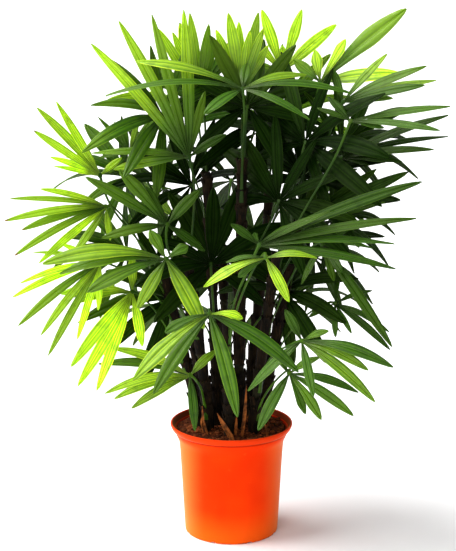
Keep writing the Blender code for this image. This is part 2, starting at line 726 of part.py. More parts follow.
def place_blades(name, fan, room, draws):
    """Each blade's tip moves, a little more each time, until the blade is clear."""
    faces = diamond_faces(len(BLADE_STATIONS) + 1)
    siblings = Room()
    stalk = shorten_start(fan["petiole"])
    siblings.add(tube_points(stalk), diamond_faces(len(stalk)), name)
    fan["blades"] = []
    for corner, tip in enumerate(fan["tips"]):
        width = fan["width"] * draws.uniform(0.82, 1.06)
        away = tip - fan["hub"]
        width *= min(1.0, 0.62 + away.length * 2.0)
        side = fan["normal"].cross(away).normalized()
        for sideways, up, length in blade_trials():
            goal = fan["hub"] + away * length + side * sideways + fan["normal"] * up
            fat = [hub_section(fan, corner, CLEARANCE)]
            fat += blade_sections(fan, corner, goal, width, CLEARANCE)
            if not room.is_clear(tube_points(fat), faces, name):
                continue
            if siblings.is_clear(tube_points(shorten_start(fat)), faces):
                break
        else:
            raise RuntimeError(f"{name}: no room for blade {corner + 1}")
        sections = [hub_section(fan, corner)] + blade_sections(fan, corner, goal, width)
        fan["blades"].append(sections)
        siblings.add(tube_points(shorten_start(sections)), faces, name)
    for sections in fan["blades"]:
        room.add(tube_points(sections), faces, name)


def hub_mesh(fan):
    """A prism with a corner for each blade and for the petiole, its side faces poked."""
    angles = fan["angles"]
    count = len(angles)
    bm = bmesh.new()
    bmesh.ops.create_cone(bm, cap_ends=True, segments=count, radius1=1, radius2=1, depth=1)
    uprights = [None] * count
    for vert in bm.verts:
        corner = side_of(vert.co, count)
        sign = 1 if vert.co.z > 0 else -1
        vert.co = fan["corners"][corner] + fan["normal"] * sign * HUB_HEIGHT / 2
        uprights[corner] = (uprights[corner] or []) + [vert]
    bm.normal_update()
    walls = [face for face in bm.faces if len(face.verts) == 4]
    sides = [face for face in walls if abs(face.normal.dot(fan["normal"])) < 0.5]
    bmesh.ops.poke(bm, faces=sides)
    used = list(range(len(fan["tips"]))) + [fan["stalk"]]
    edges = [bm.edges.get(uprights[corner]) for corner in used]
    bmesh.ops.dissolve_edges(bm, edges=edges, use_verts=False)
    return bm, uprights


def diamond_at(upright):
    """The face that holds both ends of an upright."""
    return next(face for face in upright[0].link_faces if upright[1] in face.verts)


def draw_out(bm, face, sections):
    """Pull a diamond face through the sections, and split each side alike on top and underneath.

    Sections that close to a point end there, and others end in a flat face.
    """
    places = sections[0]
    roles = [nearest(places, vert.co) for vert in face.verts]
    for section in sections[1:]:
        old = {role: vert for role, vert in zip(roles, face.verts)}
        face = bmesh.ops.extrude_discrete_faces(bm, faces=[face])["faces"][0]
        new = {nearest(places, vert.co): vert for vert in face.verts}
        roles = [nearest(places, vert.co) for vert in face.verts]
        for role, vert in new.items():
            vert.co = section[role]
        if section[0] == section[2]:
            bmesh.ops.pointmerge(bm, verts=face.verts, merge_co=section[0])
            return
        for edge, middle in ((0, 1), (0, 3), (2, 1), (2, 3)):
            wall = next(f for f in old[middle].link_faces if new[edge] in f.verts and old[edge] in f.verts)
            bmesh.utils.face_split(wall, old[middle], new[edge])
        places = section
    bmesh.utils.face_split(face, new[0], new[2])


def nearest(places, point):
    return min(range(len(places)), key=lambda role: (places[role] - point).length)


def make_frond(name, fan, parts, material):
    bm, uprights = hub_mesh(fan)
    for corner, sections in enumerate(fan["blades"]):
        draw_out(bm, diamond_at(uprights[corner]), sections)
    draw_out(bm, diamond_at(uprights[fan["stalk"]]), fan["petiole"])
    bmesh.ops.triangulate(bm, faces=bm.faces)
    bmesh.ops.recalc_face_normals(bm, faces=bm.faces)
    add_object(name, bm, parts, material)


def main():
    clear_scene()
    parts = make_collection("potted_lady_palm")
    make_pot(parts, make_collection("pot_cutters"))
    make_soil(parts, make_collection("soil_cutters"))
    room = Room()
    room.add(*pot_zone(), "pot")
    bark = make_material("cane_fibre", (0.10, 0.055, 0.025), 0.9)
    for index, cane in enumerate(CANES):
        make_cane(index, cane, parts, bark)
        room.add(*cane_solid(cane), "cane")
    draws = random.Random(7)
    leaf = make_material("frond_green", (0.07, 0.25, 0.02), 0.45)
    names = [f"frond_{index + 1:02d}" for index in range(len(FRONDS))]
    fans = [place_petiole(name, frond, room) for name, frond in zip(names, FRONDS)]
    for name, fan in zip(names, fans):
        place_blades(name, fan, room, draws)
        make_frond(name, fan, parts, leaf)


main()
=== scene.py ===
"""A potted lady palm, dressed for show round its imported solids.

Metres, +Z up. The origin is the middle of the pot's base, and the front view looks along +Y.
"""

import math
import random

import bpy
import numpy as np
from mathutils import Matrix, Vector, noise
from mathutils.bvhtree import BVHTree


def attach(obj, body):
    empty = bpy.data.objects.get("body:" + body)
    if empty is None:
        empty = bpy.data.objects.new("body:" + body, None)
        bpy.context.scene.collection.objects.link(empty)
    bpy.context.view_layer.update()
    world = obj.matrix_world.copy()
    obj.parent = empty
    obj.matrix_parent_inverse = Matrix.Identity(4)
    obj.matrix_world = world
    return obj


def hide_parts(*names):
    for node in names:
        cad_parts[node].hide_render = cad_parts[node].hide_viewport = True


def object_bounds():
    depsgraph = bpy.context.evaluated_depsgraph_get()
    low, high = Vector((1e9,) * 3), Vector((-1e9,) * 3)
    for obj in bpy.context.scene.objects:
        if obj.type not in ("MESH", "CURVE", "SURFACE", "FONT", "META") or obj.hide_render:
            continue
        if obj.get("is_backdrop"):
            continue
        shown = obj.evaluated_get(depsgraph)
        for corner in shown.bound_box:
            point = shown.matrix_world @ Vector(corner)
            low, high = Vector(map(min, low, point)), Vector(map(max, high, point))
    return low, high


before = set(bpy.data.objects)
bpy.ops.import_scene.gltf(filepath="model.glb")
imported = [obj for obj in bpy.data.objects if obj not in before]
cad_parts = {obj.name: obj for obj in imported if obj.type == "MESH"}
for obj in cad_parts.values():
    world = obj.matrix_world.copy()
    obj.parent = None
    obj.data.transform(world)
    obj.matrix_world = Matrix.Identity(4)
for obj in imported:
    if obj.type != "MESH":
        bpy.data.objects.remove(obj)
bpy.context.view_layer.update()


# The studio: a pale floor that runs out into a white room, a broad soft light high on the left
# and a little behind the palm, weaker ones from the front and the left side, and the camera
# just above the crown, looking a little down.

CAMERA_PLACE = (-0.0069, -3.0, 1.2)
CAMERA_PITCH = 77.3
CAMERA_LENS = 102.6
# Each light: its place, its strength, how broad it is in degrees and the way it shines
LIGHTS = {
    "key_light": ((-2, 1, 3), 5.0, 50, (0.60, -0.10, -0.85)),
    "fill_light": ((-1, -3, 2), 0.9, 40, (0.35, 0.85, -0.45)),
    "side_light": ((-3, 0, 1), 1.6, 40, (0.95, 0.20, -0.22)),
}


def start_fresh():
    """Object mode with nothing selected."""
    if bpy.context.mode != "OBJECT":
        bpy.ops.object.mode_set(mode="OBJECT")
    bpy.ops.object.select_all(action="DESELECT")


def new_material(name):
    """A material, its nodes and its shader."""
    material = bpy.data.materials.new(name)
    material.use_nodes = True
    return material, material.node_tree, material.node_tree.nodes["Principled BSDF"]


start_fresh()
bpy.ops.object.camera_add(location=CAMERA_PLACE, rotation=(math.radians(CAMERA_PITCH), 0, 0))
camera = bpy.context.object
camera.name = "camera"
camera.data.lens = CAMERA_LENS
bpy.context.scene.camera = camera

bpy.ops.mesh.primitive_plane_add(size=120, location=(0, 0, 0))
floor = bpy.context.object
floor.name = "floor"
floor_paint, _, floor_shader = new_material("pale_floor")
floor_shader.inputs["Base Color"].default_value = (0.93, 0.93, 0.93, 1)
floor_shader.inputs["Roughness"].default_value = 0.9
floor_shader.inputs["Specular IOR Level"].default_value = 0.1
floor.data.materials.append(floor_paint)
floor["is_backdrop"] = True

room_air = bpy.data.worlds.new("white_room")
bpy.context.scene.world = room_air
room_air.use_nodes = True
room_tree = room_air.node_tree
seen = room_tree.nodes.new("ShaderNodeLightPath").outputs["Is Camera Ray"]
strength = room_tree.nodes.new("ShaderNodeMapRange")
strength.inputs["To Min"].default_value = 0.40
strength.inputs["To Max"].default_value = 1.0
room_tree.links.new(seen, strength.inputs["Value"])
room_tree.links.new(strength.outputs[0], room_tree.nodes["Background"].inputs["Strength"])
room_tree.nodes["Background"].inputs["Color"].default_value = (1.0, 1.0, 1.0, 1)

for name, (stand, strength, breadth, way) in LIGHTS.items():
    bpy.ops.object.light_add(type="SUN", location=stand)
    light = bpy.context.object
    light.name = name
    light.data.energy = strength
    light.data.angle = math.radians(breadth)
    light.rotation_euler = Vector(way).to_track_quat("-Z", "Y").to_euler()

bpy.context.scene.view_settings.view_transform = "Standard"


# The pot: a nursery pot of orange plastic, moulded in one piece. It widens a little upwards,
# flares into a rolled rim, and stands on a bottom edge with eight drainage notches.

POT_HEIGHT = 0.225
RIM_RADIUS = 0.122
BASE_RADIUS = 0.093
UNDERSIDE_RADIUS = 0.0914
POT_SIDES = 144
NOTCH_COUNT = 8
NOTCH_RADIUS = 0.008
# Up the outside, over the lip and down the inside: (radius, height)
POT_TURNING = (
    (0.0926, 0.0006), (0.0930, 0.0016), (0.0936, 0.0060), (0.0963, 0.0560), (0.0991, 0.1060),
    (0.1016, 0.1500), (0.1032, 0.1740), (0.1040, 0.1830), (0.1056, 0.1910), (0.1086, 0.1975),
    (0.1122, 0.2060), (0.1130, 0.2100), (0.1138, 0.2112), (0.1170, 0.2120), (0.1192, 0.2150),
    (0.1210, 0.2190), (0.1219, 0.2222), (0.1216, 0.2240), (0.1206, 0.2249), (0.1192, 0.2249),
    (0.1180, 0.2238), (0.1160, 0.2190), (0.1104, 0.2080), (0.1060, 0.1980), (0.1018, 0.1880),
    (0.0994, 0.1500), (0.0930, 0.0300), (0.0905, 0.0045), (0.0880, 0.0040),
)


def choose(piece, wanted):
    """Edit mode on a piece, with only the points that wanted() takes selected."""
    start_fresh()
    bpy.context.view_layer.objects.active = piece
    piece.select_set(True)
    mesh = piece.data
    mesh.polygons.foreach_set("select", [False] * len(mesh.polygons))
    mesh.edges.foreach_set("select", [False] * len(mesh.edges))
    for point in mesh.vertices:
        point.select = bool(wanted(point.co))
    bpy.ops.object.mode_set(mode="EDIT")
    bpy.ops.mesh.select_mode(type="VERT")


def settle(piece, angle=None):
    """Object mode, faces outwards, place kept in the mesh, and smooth up to an angle in degrees."""
    choose(piece, lambda co: True)
    bpy.ops.mesh.remove_doubles(threshold=0.000001)
    bpy.ops.mesh.normals_make_consistent(inside=False)
    start_fresh()
    bpy.context.view_layer.objects.active = piece
    piece.select_set(True)
    bpy.ops.object.transform_apply(location=True, rotation=True, scale=True)
    if angle:
        bpy.ops.object.shade_smooth_by_angle(angle=math.radians(angle))
    start_fresh()


def finish_modifiers(piece):
    """Every modifier applied, in order."""
    start_fresh()
    bpy.context.view_layer.objects.active = piece
    piece.select_set(True)
    for modifier in list(piece.modifiers):
        bpy.ops.object.modifier_apply(modifier=modifier.name)
    start_fresh()


def add_node(tree, kind, **inputs):
    """A node with its inputs set by name, or by number as i0, i1, i2; a socket is linked."""
    node = tree.nodes.new(kind)
    for name, value in inputs.items():
        numbered = name[0] == "i" and name[1:].isdigit()
        socket = node.inputs[int(name[1:]) if numbered else name]
        if isinstance(value, bpy.types.NodeSocket):
            tree.links.new(value, socket)
        else:
            socket.default_value = value
    return node


def sum_of(tree, operation, first, second=0.0, third=None, clamp=False):
    """The result of a sum on numbers or sockets."""
    inputs = {"i0": first, "i1": second}
    if third is not None:
        inputs["i2"] = third
    node = add_node(tree, "ShaderNodeMath", **inputs)
    node.operation = operation
    node.use_clamp = clamp
    return node.outputs[0]


def ramp_between(tree, value, start, end):
    """0 below start, 1 above end, and eased between them."""
    node = add_node(tree, "ShaderNodeMapRange", i0=value, i1=start, i2=end)
    node.interpolation_type = "SMOOTHSTEP"
    return node.outputs[0]


def blend_colours(tree, share, first, second, kind="MIX"):
    """Two colours mixed by a share; each may be a socket or three numbers."""
    node = tree.nodes.new("ShaderNodeMix")
    node.data_type = "RGBA"
    node.blend_type = kind
    for socket, value in ((node.inputs[0], share), (node.inputs[6], first), (node.inputs[7], second)):
        if isinstance(value, bpy.types.NodeSocket):
            tree.links.new(value, socket)
        elif isinstance(value, tuple):
            socket.default_value = (*value, 1.0)
        else:
            socket.default_value = value
    return node.outputs[2]


def the_rest(tree, mask):
    """1 where a mask is 0, and 0 where it is 1."""
    return sum_of(tree, "SUBTRACT", 1.0, mask)


def tint(tree, mask, share, colour, other):
    """A colour with another over it where the mask is 1, up to a share."""
    return blend_colours(tree, sum_of(tree, "MULTIPLY", mask, share), colour, other)


def in_patches(tree, cloud, start, end, first, second):
    """One colour where a cloud is thin and another where it is thick."""
    return blend_colours(tree, ramp_between(tree, cloud, start, end), first, second)


def grain(tree, place, scale, detail=3.0, roughness=0.55, stretch=None):
    """Cloudy variation about 0.5, finer with a higher scale, drawn out along an axis by stretch."""
    if stretch:
        place = add_node(tree, "ShaderNodeMapping", Vector=place, Scale=stretch).outputs[0]
    node = add_node(
        tree, "ShaderNodeTexNoise", Vector=place, Scale=scale, Detail=detail, Roughness=roughness
    )
    return node.outputs[0]


def own_place(tree):
    """Where a point is on the palm, in metres."""
    return tree.nodes.new("ShaderNodeTexCoord").outputs["Object"]


def raise_bumps(tree, shader, height, strength, distance):
    """A fine relief on the surface."""
    bump = add_node(tree, "ShaderNodeBump", Height=height, Strength=strength, Distance=distance)
    tree.links.new(bump.outputs[0], shader.inputs["Normal"])


start_fresh()
bpy.ops.mesh.primitive_circle_add(
    vertices=POT_SIDES, radius=UNDERSIDE_RADIUS, fill_type="NGON", location=(0, 0, 0)
)
pot = bpy.context.object
pot.name = "nursery_pot"
radius, height = UNDERSIDE_RADIUS, 0.0
choose(pot, lambda co: True)
for next_radius, next_height in POT_TURNING:
    bpy.ops.mesh.extrude_region_move(
        TRANSFORM_OT_translate={"value": (0, 0, next_height - height)}
    )
    share = next_radius / radius
    bpy.ops.transform.resize(value=(share, share, 1), center_override=(0, 0, next_height))
    radius, height = next_radius, next_height
settle(pot)

for notch in range(NOTCH_COUNT):
    turn = 2 * math.pi * (notch + 0.5) / NOTCH_COUNT
    start_fresh()
    bpy.ops.mesh.primitive_cylinder_add(
        vertices=20,
        radius=NOTCH_RADIUS,
        depth=0.020,
        location=(BASE_RADIUS * math.cos(turn), BASE_RADIUS * math.sin(turn), -0.0045),
        rotation=(0, math.pi / 2, turn),
    )
    cutter = bpy.context.object
    opening = pot.modifiers.new("notch", "BOOLEAN")
    opening.operation = "DIFFERENCE"
    opening.object = cutter
    finish_modifiers(pot)
    bpy.data.objects.remove(cutter)
settle(pot, 40)

plastic, tree, shader = new_material("orange_plastic")
place = own_place(tree)
cloud = grain(tree, place, 9.0, 2.0)
dust = grain(tree, place, 60.0, 5.0, 0.7)
axes = add_node(tree, "ShaderNodeSeparateXYZ", Vector=place)
height_up = axes.outputs["Z"]
flat_place = add_node(tree, "ShaderNodeVectorMath", i0=place, i1=(1.0, 1.0, 0.0))
flat_place.operation = "MULTIPLY"
reach_out = add_node(tree, "ShaderNodeVectorMath", i0=flat_place.outputs[0])
reach_out.operation = "LENGTH"
reach_out = reach_out.outputs["Value"]
colour = in_patches(tree, cloud, 0.35, 0.65, (0.81, 0.029, 0.0003), (0.88, 0.041, 0.0005))
# Paler towards the foot and in scuffed patches, and painted light down both sides under the rim, more
# on the left
low_down = the_rest(tree, ramp_between(tree, height_up, 0.0, 0.075))
colour = tint(tree, low_down, 0.70, colour, (0.92, 0.130, 0.006))
scuffed = ramp_between(tree, dust, 0.58, 0.75)
colour = tint(tree, scuffed, 0.22, colour, (0.88, 0.090, 0.012))
# Painted light: lighter down the left side, where the light falls, and a little down the right
left_side = the_rest(tree, ramp_between(tree, axes.outputs["X"], -0.112, -0.050))
right_side = ramp_between(tree, axes.outputs["X"], 0.055, 0.105)
left_side = sum_of(tree, "MULTIPLY", left_side, 0.62)
painted_side_light = sum_of(tree, "ADD", left_side, sum_of(tree, "MULTIPLY", right_side, 0.40))
under_rim = the_rest(tree, ramp_between(tree, height_up, 0.192, 0.206))
colour = tint(tree, painted_side_light, under_rim, colour, (0.940, 0.240, 0.036))
# Deeper on the lip, with a painted shadow in the groove below it and painted shade inside
lip = ramp_between(tree, height_up, 0.2100, 0.2185)
colour = tint(tree, lip, 0.60, colour, (0.640, 0.036, 0.005))
painted_lip_shadow = ramp_between(tree, height_up, 0.2060, 0.2098)
under_lip = the_rest(tree, ramp_between(tree, height_up, 0.2122, 0.2140))
painted_lip_shadow = sum_of(tree, "MULTIPLY", painted_lip_shadow, under_lip)
colour = tint(tree, painted_lip_shadow, 0.80, colour, (0.330, 0.0070, 0.0002))
inner = the_rest(tree, ramp_between(tree, reach_out, 0.1172, 0.1192))
inner = sum_of(tree, "MULTIPLY", inner, ramp_between(tree, height_up, 0.2135, 0.2145))
colour = tint(tree, inner, 0.85, colour, (0.085, 0.0160, 0.0030))
# Soiled along the bottom edge
soiled = the_rest(tree, ramp_between(tree, height_up, 0.0005, 0.0040))
soiled = sum_of(tree, "MULTIPLY", soiled, ramp_between(tree, dust, 0.42, 0.60))
colour = tint(tree, soiled, 0.75, colour, (0.160, 0.030, 0.008))
tree.links.new(colour, shader.inputs["Base Color"])
rough = add_node(tree, "ShaderNodeMapRange", i0=dust, i1=0.3, i2=0.7, i3=0.30, i4=0.46)
tree.links.new(rough.outputs[0], shader.inputs["Roughness"])
hoops = add_node(tree, "ShaderNodeTexWave", Vector=place, Scale=22.0, Distortion=0.6, Detail=1.0)
hoops.bands_direction = "Z"
relief = sum_of(tree, "ADD", sum_of(tree, "MULTIPLY", hoops.outputs[1], 0.25), dust)
raise_bumps(tree, shader, relief, 0.12, 0.0006)
shader.inputs["Specular IOR Level"].default_value = 0.02
shader.inputs["Sheen Weight"].default_value = 0.45
shader.inputs["Sheen Roughness"].default_value = 0.35
shader.inputs["Sheen Tint"].default_value = (1.0, 0.45, 0.12, 1)
pot.data.materials.append(plastic)
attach(pot, "root")
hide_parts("pot")


# The peat: dark potting peat filled to just below the rim, pressed unevenly, with crumbs
# and bits of bark lying loose on it.

SOIL_TOP = 0.216
SOIL_LUMP = 0.0028
SOIL_GRIT = 0.0016
SOIL_SINK = 0.0035
SOIL_RADIUS = 0.1085
SOIL_DEPTH = 0.020
SOIL_CELLS = 96
# Points this near the edge of the peat are drawn out on to it, so that the edge is round
SOIL_EDGE = 0.0022
CRUMB_COUNT = 420
# Every ninth crumb is a larger bit of bark
CRUMB_SIZES = (0.0012, 0.0036)
BARK_SIZES = (0.0040, 0.0062)
# Any way round, in radians
ANY_TURN = (0, 6.28)


def piece_from(mesh, name):
    """A piece made from a mesh."""
    piece = bpy.data.objects.new(name, mesh)
    bpy.context.scene.collection.objects.link(piece)
    return piece


def join_up(pieces, name):
    """One piece from several."""
    start_fresh()
    for piece in pieces:
        piece.select_set(True)
    bpy.context.view_layer.objects.active = pieces[0]
    bpy.ops.object.join()
    piece = bpy.context.view_layer.objects.active
    piece.name = name
    piece.data.name = name
    start_fresh()
    return piece


def finish_dull(tree, shader, colour, roughness, gloss):
    """A colour by nodes, with a roughness and a gloss that are the same all over."""
    tree.links.new(colour, shader.inputs["Base Color"])
    shader.inputs["Roughness"].default_value = roughness
    shader.inputs["Specular IOR Level"].default_value = gloss


def soil_height(x, y):
    """The lumpy surface, sunk at the pot's wall, as the solid has it but finer."""
    lumps = math.sin(95 * x + 1.3) * math.cos(88 * y - 0.4) + 0.6 * math.sin(170 * y + 120 * x)
    fine = noise.fractal(Vector((x, y, 0.3)) * 130, 0.8, 2.2, 4)
    edge = (math.hypot(x, y) / SOIL_RADIUS) ** 4
    return SOIL_TOP + SOIL_LUMP * lumps * (1 - edge) + SOIL_GRIT * fine - SOIL_SINK * edge


start_fresh()
bpy.ops.mesh.primitive_grid_add(
    x_subdivisions=SOIL_CELLS,
    y_subdivisions=SOIL_CELLS,
    size=2 * SOIL_RADIUS,
    location=(0, 0, SOIL_TOP),
)
peat = bpy.context.object
peat.name = "peat"
bpy.ops.object.transform_apply(location=True)
choose(peat, lambda co: math.hypot(co.x, co.y) > SOIL_RADIUS)
bpy.ops.mesh.delete(type="VERT")
start_fresh()
for point in peat.data.vertices:
    reach = math.hypot(point.co.x, point.co.y)
    if reach > SOIL_RADIUS - SOIL_EDGE:
        point.co.x *= SOIL_RADIUS / reach
        point.co.y *= SOIL_RADIUS / reach
    point.co.z = soil_height(point.co.x, point.co.y)
choose(peat, lambda co: True)
bpy.ops.mesh.region_to_loop()
bpy.ops.mesh.extrude_region_move(TRANSFORM_OT_translate={"value": (0, 0, -SOIL_DEPTH)})
bpy.ops.transform.resize(value=(0.96, 0.96, 0), center_override=(0, 0, SOIL_TOP - SOIL_DEPTH))
bpy.ops.mesh.edge_face_add()
settle(peat, 60)

start_fresh()
bpy.ops.mesh.primitive_ico_sphere_add(subdivisions=2, radius=1, location=(0, 0, 0))
crumb = bpy.context.object
for point in crumb.data.vertices:
    point.co *= 1 + 0.45 * noise.noise(point.co * 1.7)
draws = random.Random(11)
crumbs = []
for index in range(CRUMB_COUNT):
    reach = SOIL_RADIUS * 0.97 * math.sqrt(draws.random())
    angle = draws.uniform(0, 2 * math.pi)
    x, y = reach * math.cos(angle), reach * math.sin(angle)
    size = draws.uniform(*(CRUMB_SIZES if index % 9 else BARK_SIZES))
    shape = Matrix.Translation((x, y, soil_height(x, y) + size * 0.15))
    shape @= Matrix.Rotation(draws.uniform(*ANY_TURN), 4, "Z")
    shape @= Matrix.Rotation(draws.uniform(-0.5, 0.5), 4, "X")
    shape @= Matrix.Diagonal((size * draws.uniform(1.0, 1.9), size, size * draws.uniform(0.4, 0.8), 1))
    mesh = crumb.data.copy()
    mesh.transform(shape)
    crumbs.append(piece_from(mesh, "crumb"))
bpy.data.objects.remove(crumb)
litter = join_up(crumbs, "bark_crumbs")
settle(litter, 70)

peat_brown, tree, shader = new_material("peat_brown")
place = own_place(tree)
clods = grain(tree, place, 95.0, 6.0, 0.7)
fibres = grain(tree, place, 420.0, 4.0, 0.7)
colour = in_patches(tree, clods, 0.34, 0.66, (0.016, 0.0036, 0.0010), (0.095, 0.021, 0.005))
colour = in_patches(tree, fibres, 0.60, 0.72, colour, (0.21, 0.062, 0.017))
finish_dull(tree, shader, colour, 0.95, 0.08)
raise_bumps(tree, shader, sum_of(tree, "ADD", clods, fibres), 0.9, 0.002)
peat.data.materials.append(peat_brown)

bark_brown, tree, shader = new_material("bark_brown")
place = own_place(tree)
clods = grain(tree, place, 38.0, 4.0, 0.6)
fibres = grain(tree, place, 300.0, 4.0, 0.7)
colour = in_patches(tree, clods, 0.38, 0.62, (0.026, 0.0056, 0.0015), (0.180, 0.039, 0.009))
colour = in_patches(tree, fibres, 0.45, 0.75, colour, (0.26, 0.080, 0.022))
finish_dull(tree, shader, colour, 0.9, 0.10)
raise_bumps(tree, shader, fibres, 0.7, 0.001)
litter.data.materials.append(bark_brown)

for piece in (peat, litter):
    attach(piece, "root")
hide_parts("soil")


# The canes: ten slim stems that stand in the peat and lean outwards. Each is ringed by old
# leaf scars, and wrapped nearly all the way up in the brown fibrous sheaths of its leaf stalks.

CANE_SIDES = 6
CANE_FOOT = 0.110
CANE_SPANS = 4
INTERNODE = 0.034
# How often a stretch of cane has no sheath: the lowest one, and any other
BARE_AT_FOOT = 0.35
BARE_ABOVE = 0.12
SHEATH_LENGTHS = (0.040, 0.062)
# How far below the top of its stretch of cane a sheath starts
SHEATH_DROPS = (0.028, 0.040)
STRANDS_A_SHEATH = 7
STRAND_WIDTH = 0.0008
# Base x and y, top x, y and z, and radius
CANES = (
    (-0.045, -0.030, -0.085, -0.085, 0.585, 0.0095),
    (-0.005, -0.058, -0.010, -0.120, 0.475, 0.0090),
    (0.043, -0.038, 0.085, -0.095, 0.585, 0.0095),
    (0.062, 0.008, 0.135, -0.010, 0.655, 0.0090),
    (0.014, -0.006, 0.020, -0.020, 0.755, 0.0105),
    (-0.026, 0.014, -0.048, 0.005, 0.725, 0.0100),
    (-0.066, -0.002, -0.135, -0.020, 0.545, 0.0088),
    (0.036, 0.044, 0.078, 0.095, 0.695, 0.0095),
    (-0.010, 0.064, -0.020, 0.130, 0.615, 0.0090),
    (-0.056, 0.040, -0.105, 0.090, 0.575, 0.0090),
)


def cane_point(cane, height):
    """Where a cane's axis is at a height: upright in the peat, then leaning out in a slow curve."""
    base = Vector((cane[0], cane[1], 0.0))
    top = Vector((cane[2], cane[3], 0.0))
    share = max(0.0, (height - SOIL_TOP - 0.01) / (cane[4] - SOIL_TOP - 0.01))
    point = base.lerp(top, share**1.15)
    point.z = height
    return point


def cane_direction(cane, height):
    """Which way a cane leans at a height."""
    return (cane_point(cane, height + 0.004) - cane_point(cane, height - 0.004)).normalized()


def cane_rings(cane):
    """(centre, radius) up a cane as the solid has it."""
    radius = cane[5]
    rings = [(cane_point(cane, CANE_FOOT), radius * 1.08)]
    rings.append((cane_point(cane, SOIL_TOP + 0.009), radius * 1.08))
    start = SOIL_TOP + 0.012
    for index in range(CANE_SPANS):
        low = start + (cane[4] - start) * index / CANE_SPANS
        high = start + (cane[4] - start) * (index + 0.94) / CANE_SPANS
        thin = 1.0 - 0.3 * index / CANE_SPANS
        rings.append((cane_point(cane, low), radius * thin * 0.96))
        rings.append((cane_point(cane, high), radius * thin * 1.08))
    return rings


def row_widths(piece, widths, axis="XZ"):
    """Scale each cross row of a pattern that lies along Y, by pairs of place and width."""
    for place_along, width in widths:
        choose(piece, lambda co: abs(co.y - place_along) < 0.0005)
        size = (width if "X" in axis else 1, 1, width if "Z" in axis else 1)
        bpy.ops.transform.resize(value=size, center_override=(0, place_along, 0))
    start_fresh()


def lay(pattern, name, way, width, thick):
    """A copy of a pattern, which lies along Y from 0 to 1, moved on to a way.

    way is (shares, centres, sides, ups). width and thick scale it across: one number each, or
    one for each share.
    """
    mesh = pattern.data.copy()
    flat = np.empty(len(mesh.vertices) * 3)
    mesh.vertices.foreach_get("co", flat)
    co = flat.reshape(-1, 3)
    shares, centres, sides, ups = way
    centre = np.stack([np.interp(co[:, 1], shares, centres[:, k]) for k in range(3)], axis=1)
    side = np.stack([np.interp(co[:, 1], shares, sides[:, k]) for k in range(3)], axis=1)
    up = np.stack([np.interp(co[:, 1], shares, ups[:, k]) for k in range(3)], axis=1)
    across = co[:, 0] * np.interp(co[:, 1], shares, np.broadcast_to(width, len(shares)))
    above = co[:, 2] * np.interp(co[:, 1], shares, np.broadcast_to(thick, len(shares)))
    moved = centre + side * across[:, None] + up * above[:, None]
    mesh.vertices.foreach_set("co", moved.ravel())
    mesh.update()
    return piece_from(mesh, name)


def level_turned(angle):
    """A level direction, turned from +X."""
    return Vector((math.cos(angle), math.sin(angle), 0))


def upright_way(cane, low, high, turn):
    """The way up a stretch of cane, its sides turned about the axis."""
    shares = np.linspace(0, 1, 6)
    centres, sides, ups = [], [], []
    for share in shares:
        height = low + (high - low) * share
        along = cane_direction(cane, max(height, SOIL_TOP + 0.015))
        side = level_turned(turn)
        side = (side - along * side.dot(along)).normalized()
        centres.append(cane_point(cane, height))
        sides.append(side)
        ups.append(side.cross(along))
    return shares, np.array(centres), np.array(sides), np.array(ups)


def bowed_way(foot, tip, side, out, bow):
    """The way from a foot to a tip, its middle bowed outwards."""
    centres = np.array([foot, foot.lerp(tip, 0.5) + out * bow, tip])
    return np.array([0, 0.5, 1]), centres, np.array([side] * 3), np.array([out] * 3)


def along_y(piece):
    """Turn a primitive that stands along Z, from -0.5 to 0.5, to lie along Y from 0 to 1."""
    piece.data.transform(Matrix.Translation((0, 0.5, 0)) @ Matrix.Rotation(-math.pi / 2, 4, "X"))


def cut_across(piece, places):
    """A row of points cut into a pattern at each place along Y."""
    choose(piece, lambda co: True)
    for place_along in places:
        bpy.ops.mesh.select_all(action="SELECT")
        bpy.ops.mesh.bisect(plane_co=(0, place_along, 0), plane_no=(0, 1, 0))
    start_fresh()


# A stretch of cane between two leaf scars is a little waisted, with a raised ring at its top.
start_fresh()
bpy.ops.mesh.primitive_cylinder_add(vertices=16, radius=0.5, depth=1, location=(0, 0, 0))
internode = bpy.context.object
internode.name = "internode_pattern"
along_y(internode)
internode_rows = (
    (0.0, 1.02), (0.04, 0.95), (0.10, 0.90), (0.50, 0.86),
    (0.84, 0.93), (0.90, 1.10), (0.95, 1.12), (1.0, 1.0),
)
cut_across(internode, [row[0] for row in internode_rows[1:-1]])
row_widths(internode, internode_rows)
settle(internode, 50)

# A sheath is a sleeve open at both ends, split and frayed at its upper edge.
start_fresh()
bpy.ops.mesh.primitive_cylinder_add(
    vertices=18, radius=0.5, depth=1, end_fill_type="NOTHING", location=(0, 0, 0)
)
sheath = bpy.context.object
sheath.name = "sheath_pattern"
along_y(sheath)
sheath_rows = ((0.0, 0.96), (0.25, 1.04), (0.50, 1.10), (0.70, 1.17), (0.85, 1.26), (1.0, 1.42))
cut_across(sheath, [row[0] for row in sheath_rows[1:-1]])
row_widths(sheath, sheath_rows)
for point in sheath.data.vertices:
    if point.co.y > 0.99:
        angle = math.atan2(point.co.z, point.co.x)
        point.co.y += 0.16 * math.sin(9 * angle) + 0.10 * math.sin(4 * angle + 1) + 0.05
    elif point.co.y > 0.8:
        angle = math.atan2(point.co.z, point.co.x)
        point.co.y += 0.05 * math.sin(4 * angle + 1)
skin = sheath.modifiers.new("skin", "SOLIDIFY")
skin.thickness = 0.05
skin.offset = 0.0
finish_modifiers(sheath)
settle(sheath, 60)

# A strand is one stiff brown fibre, three-sided and tapering to nothing.
start_fresh()
bpy.ops.mesh.primitive_cone_add(vertices=3, radius1=0.5, radius2=0.08, depth=1, location=(0, 0, 0))
strand = bpy.context.object
strand.name = "strand_pattern"
along_y(strand)
cut_across(strand, (0.35, 0.7))
settle(strand, 60)

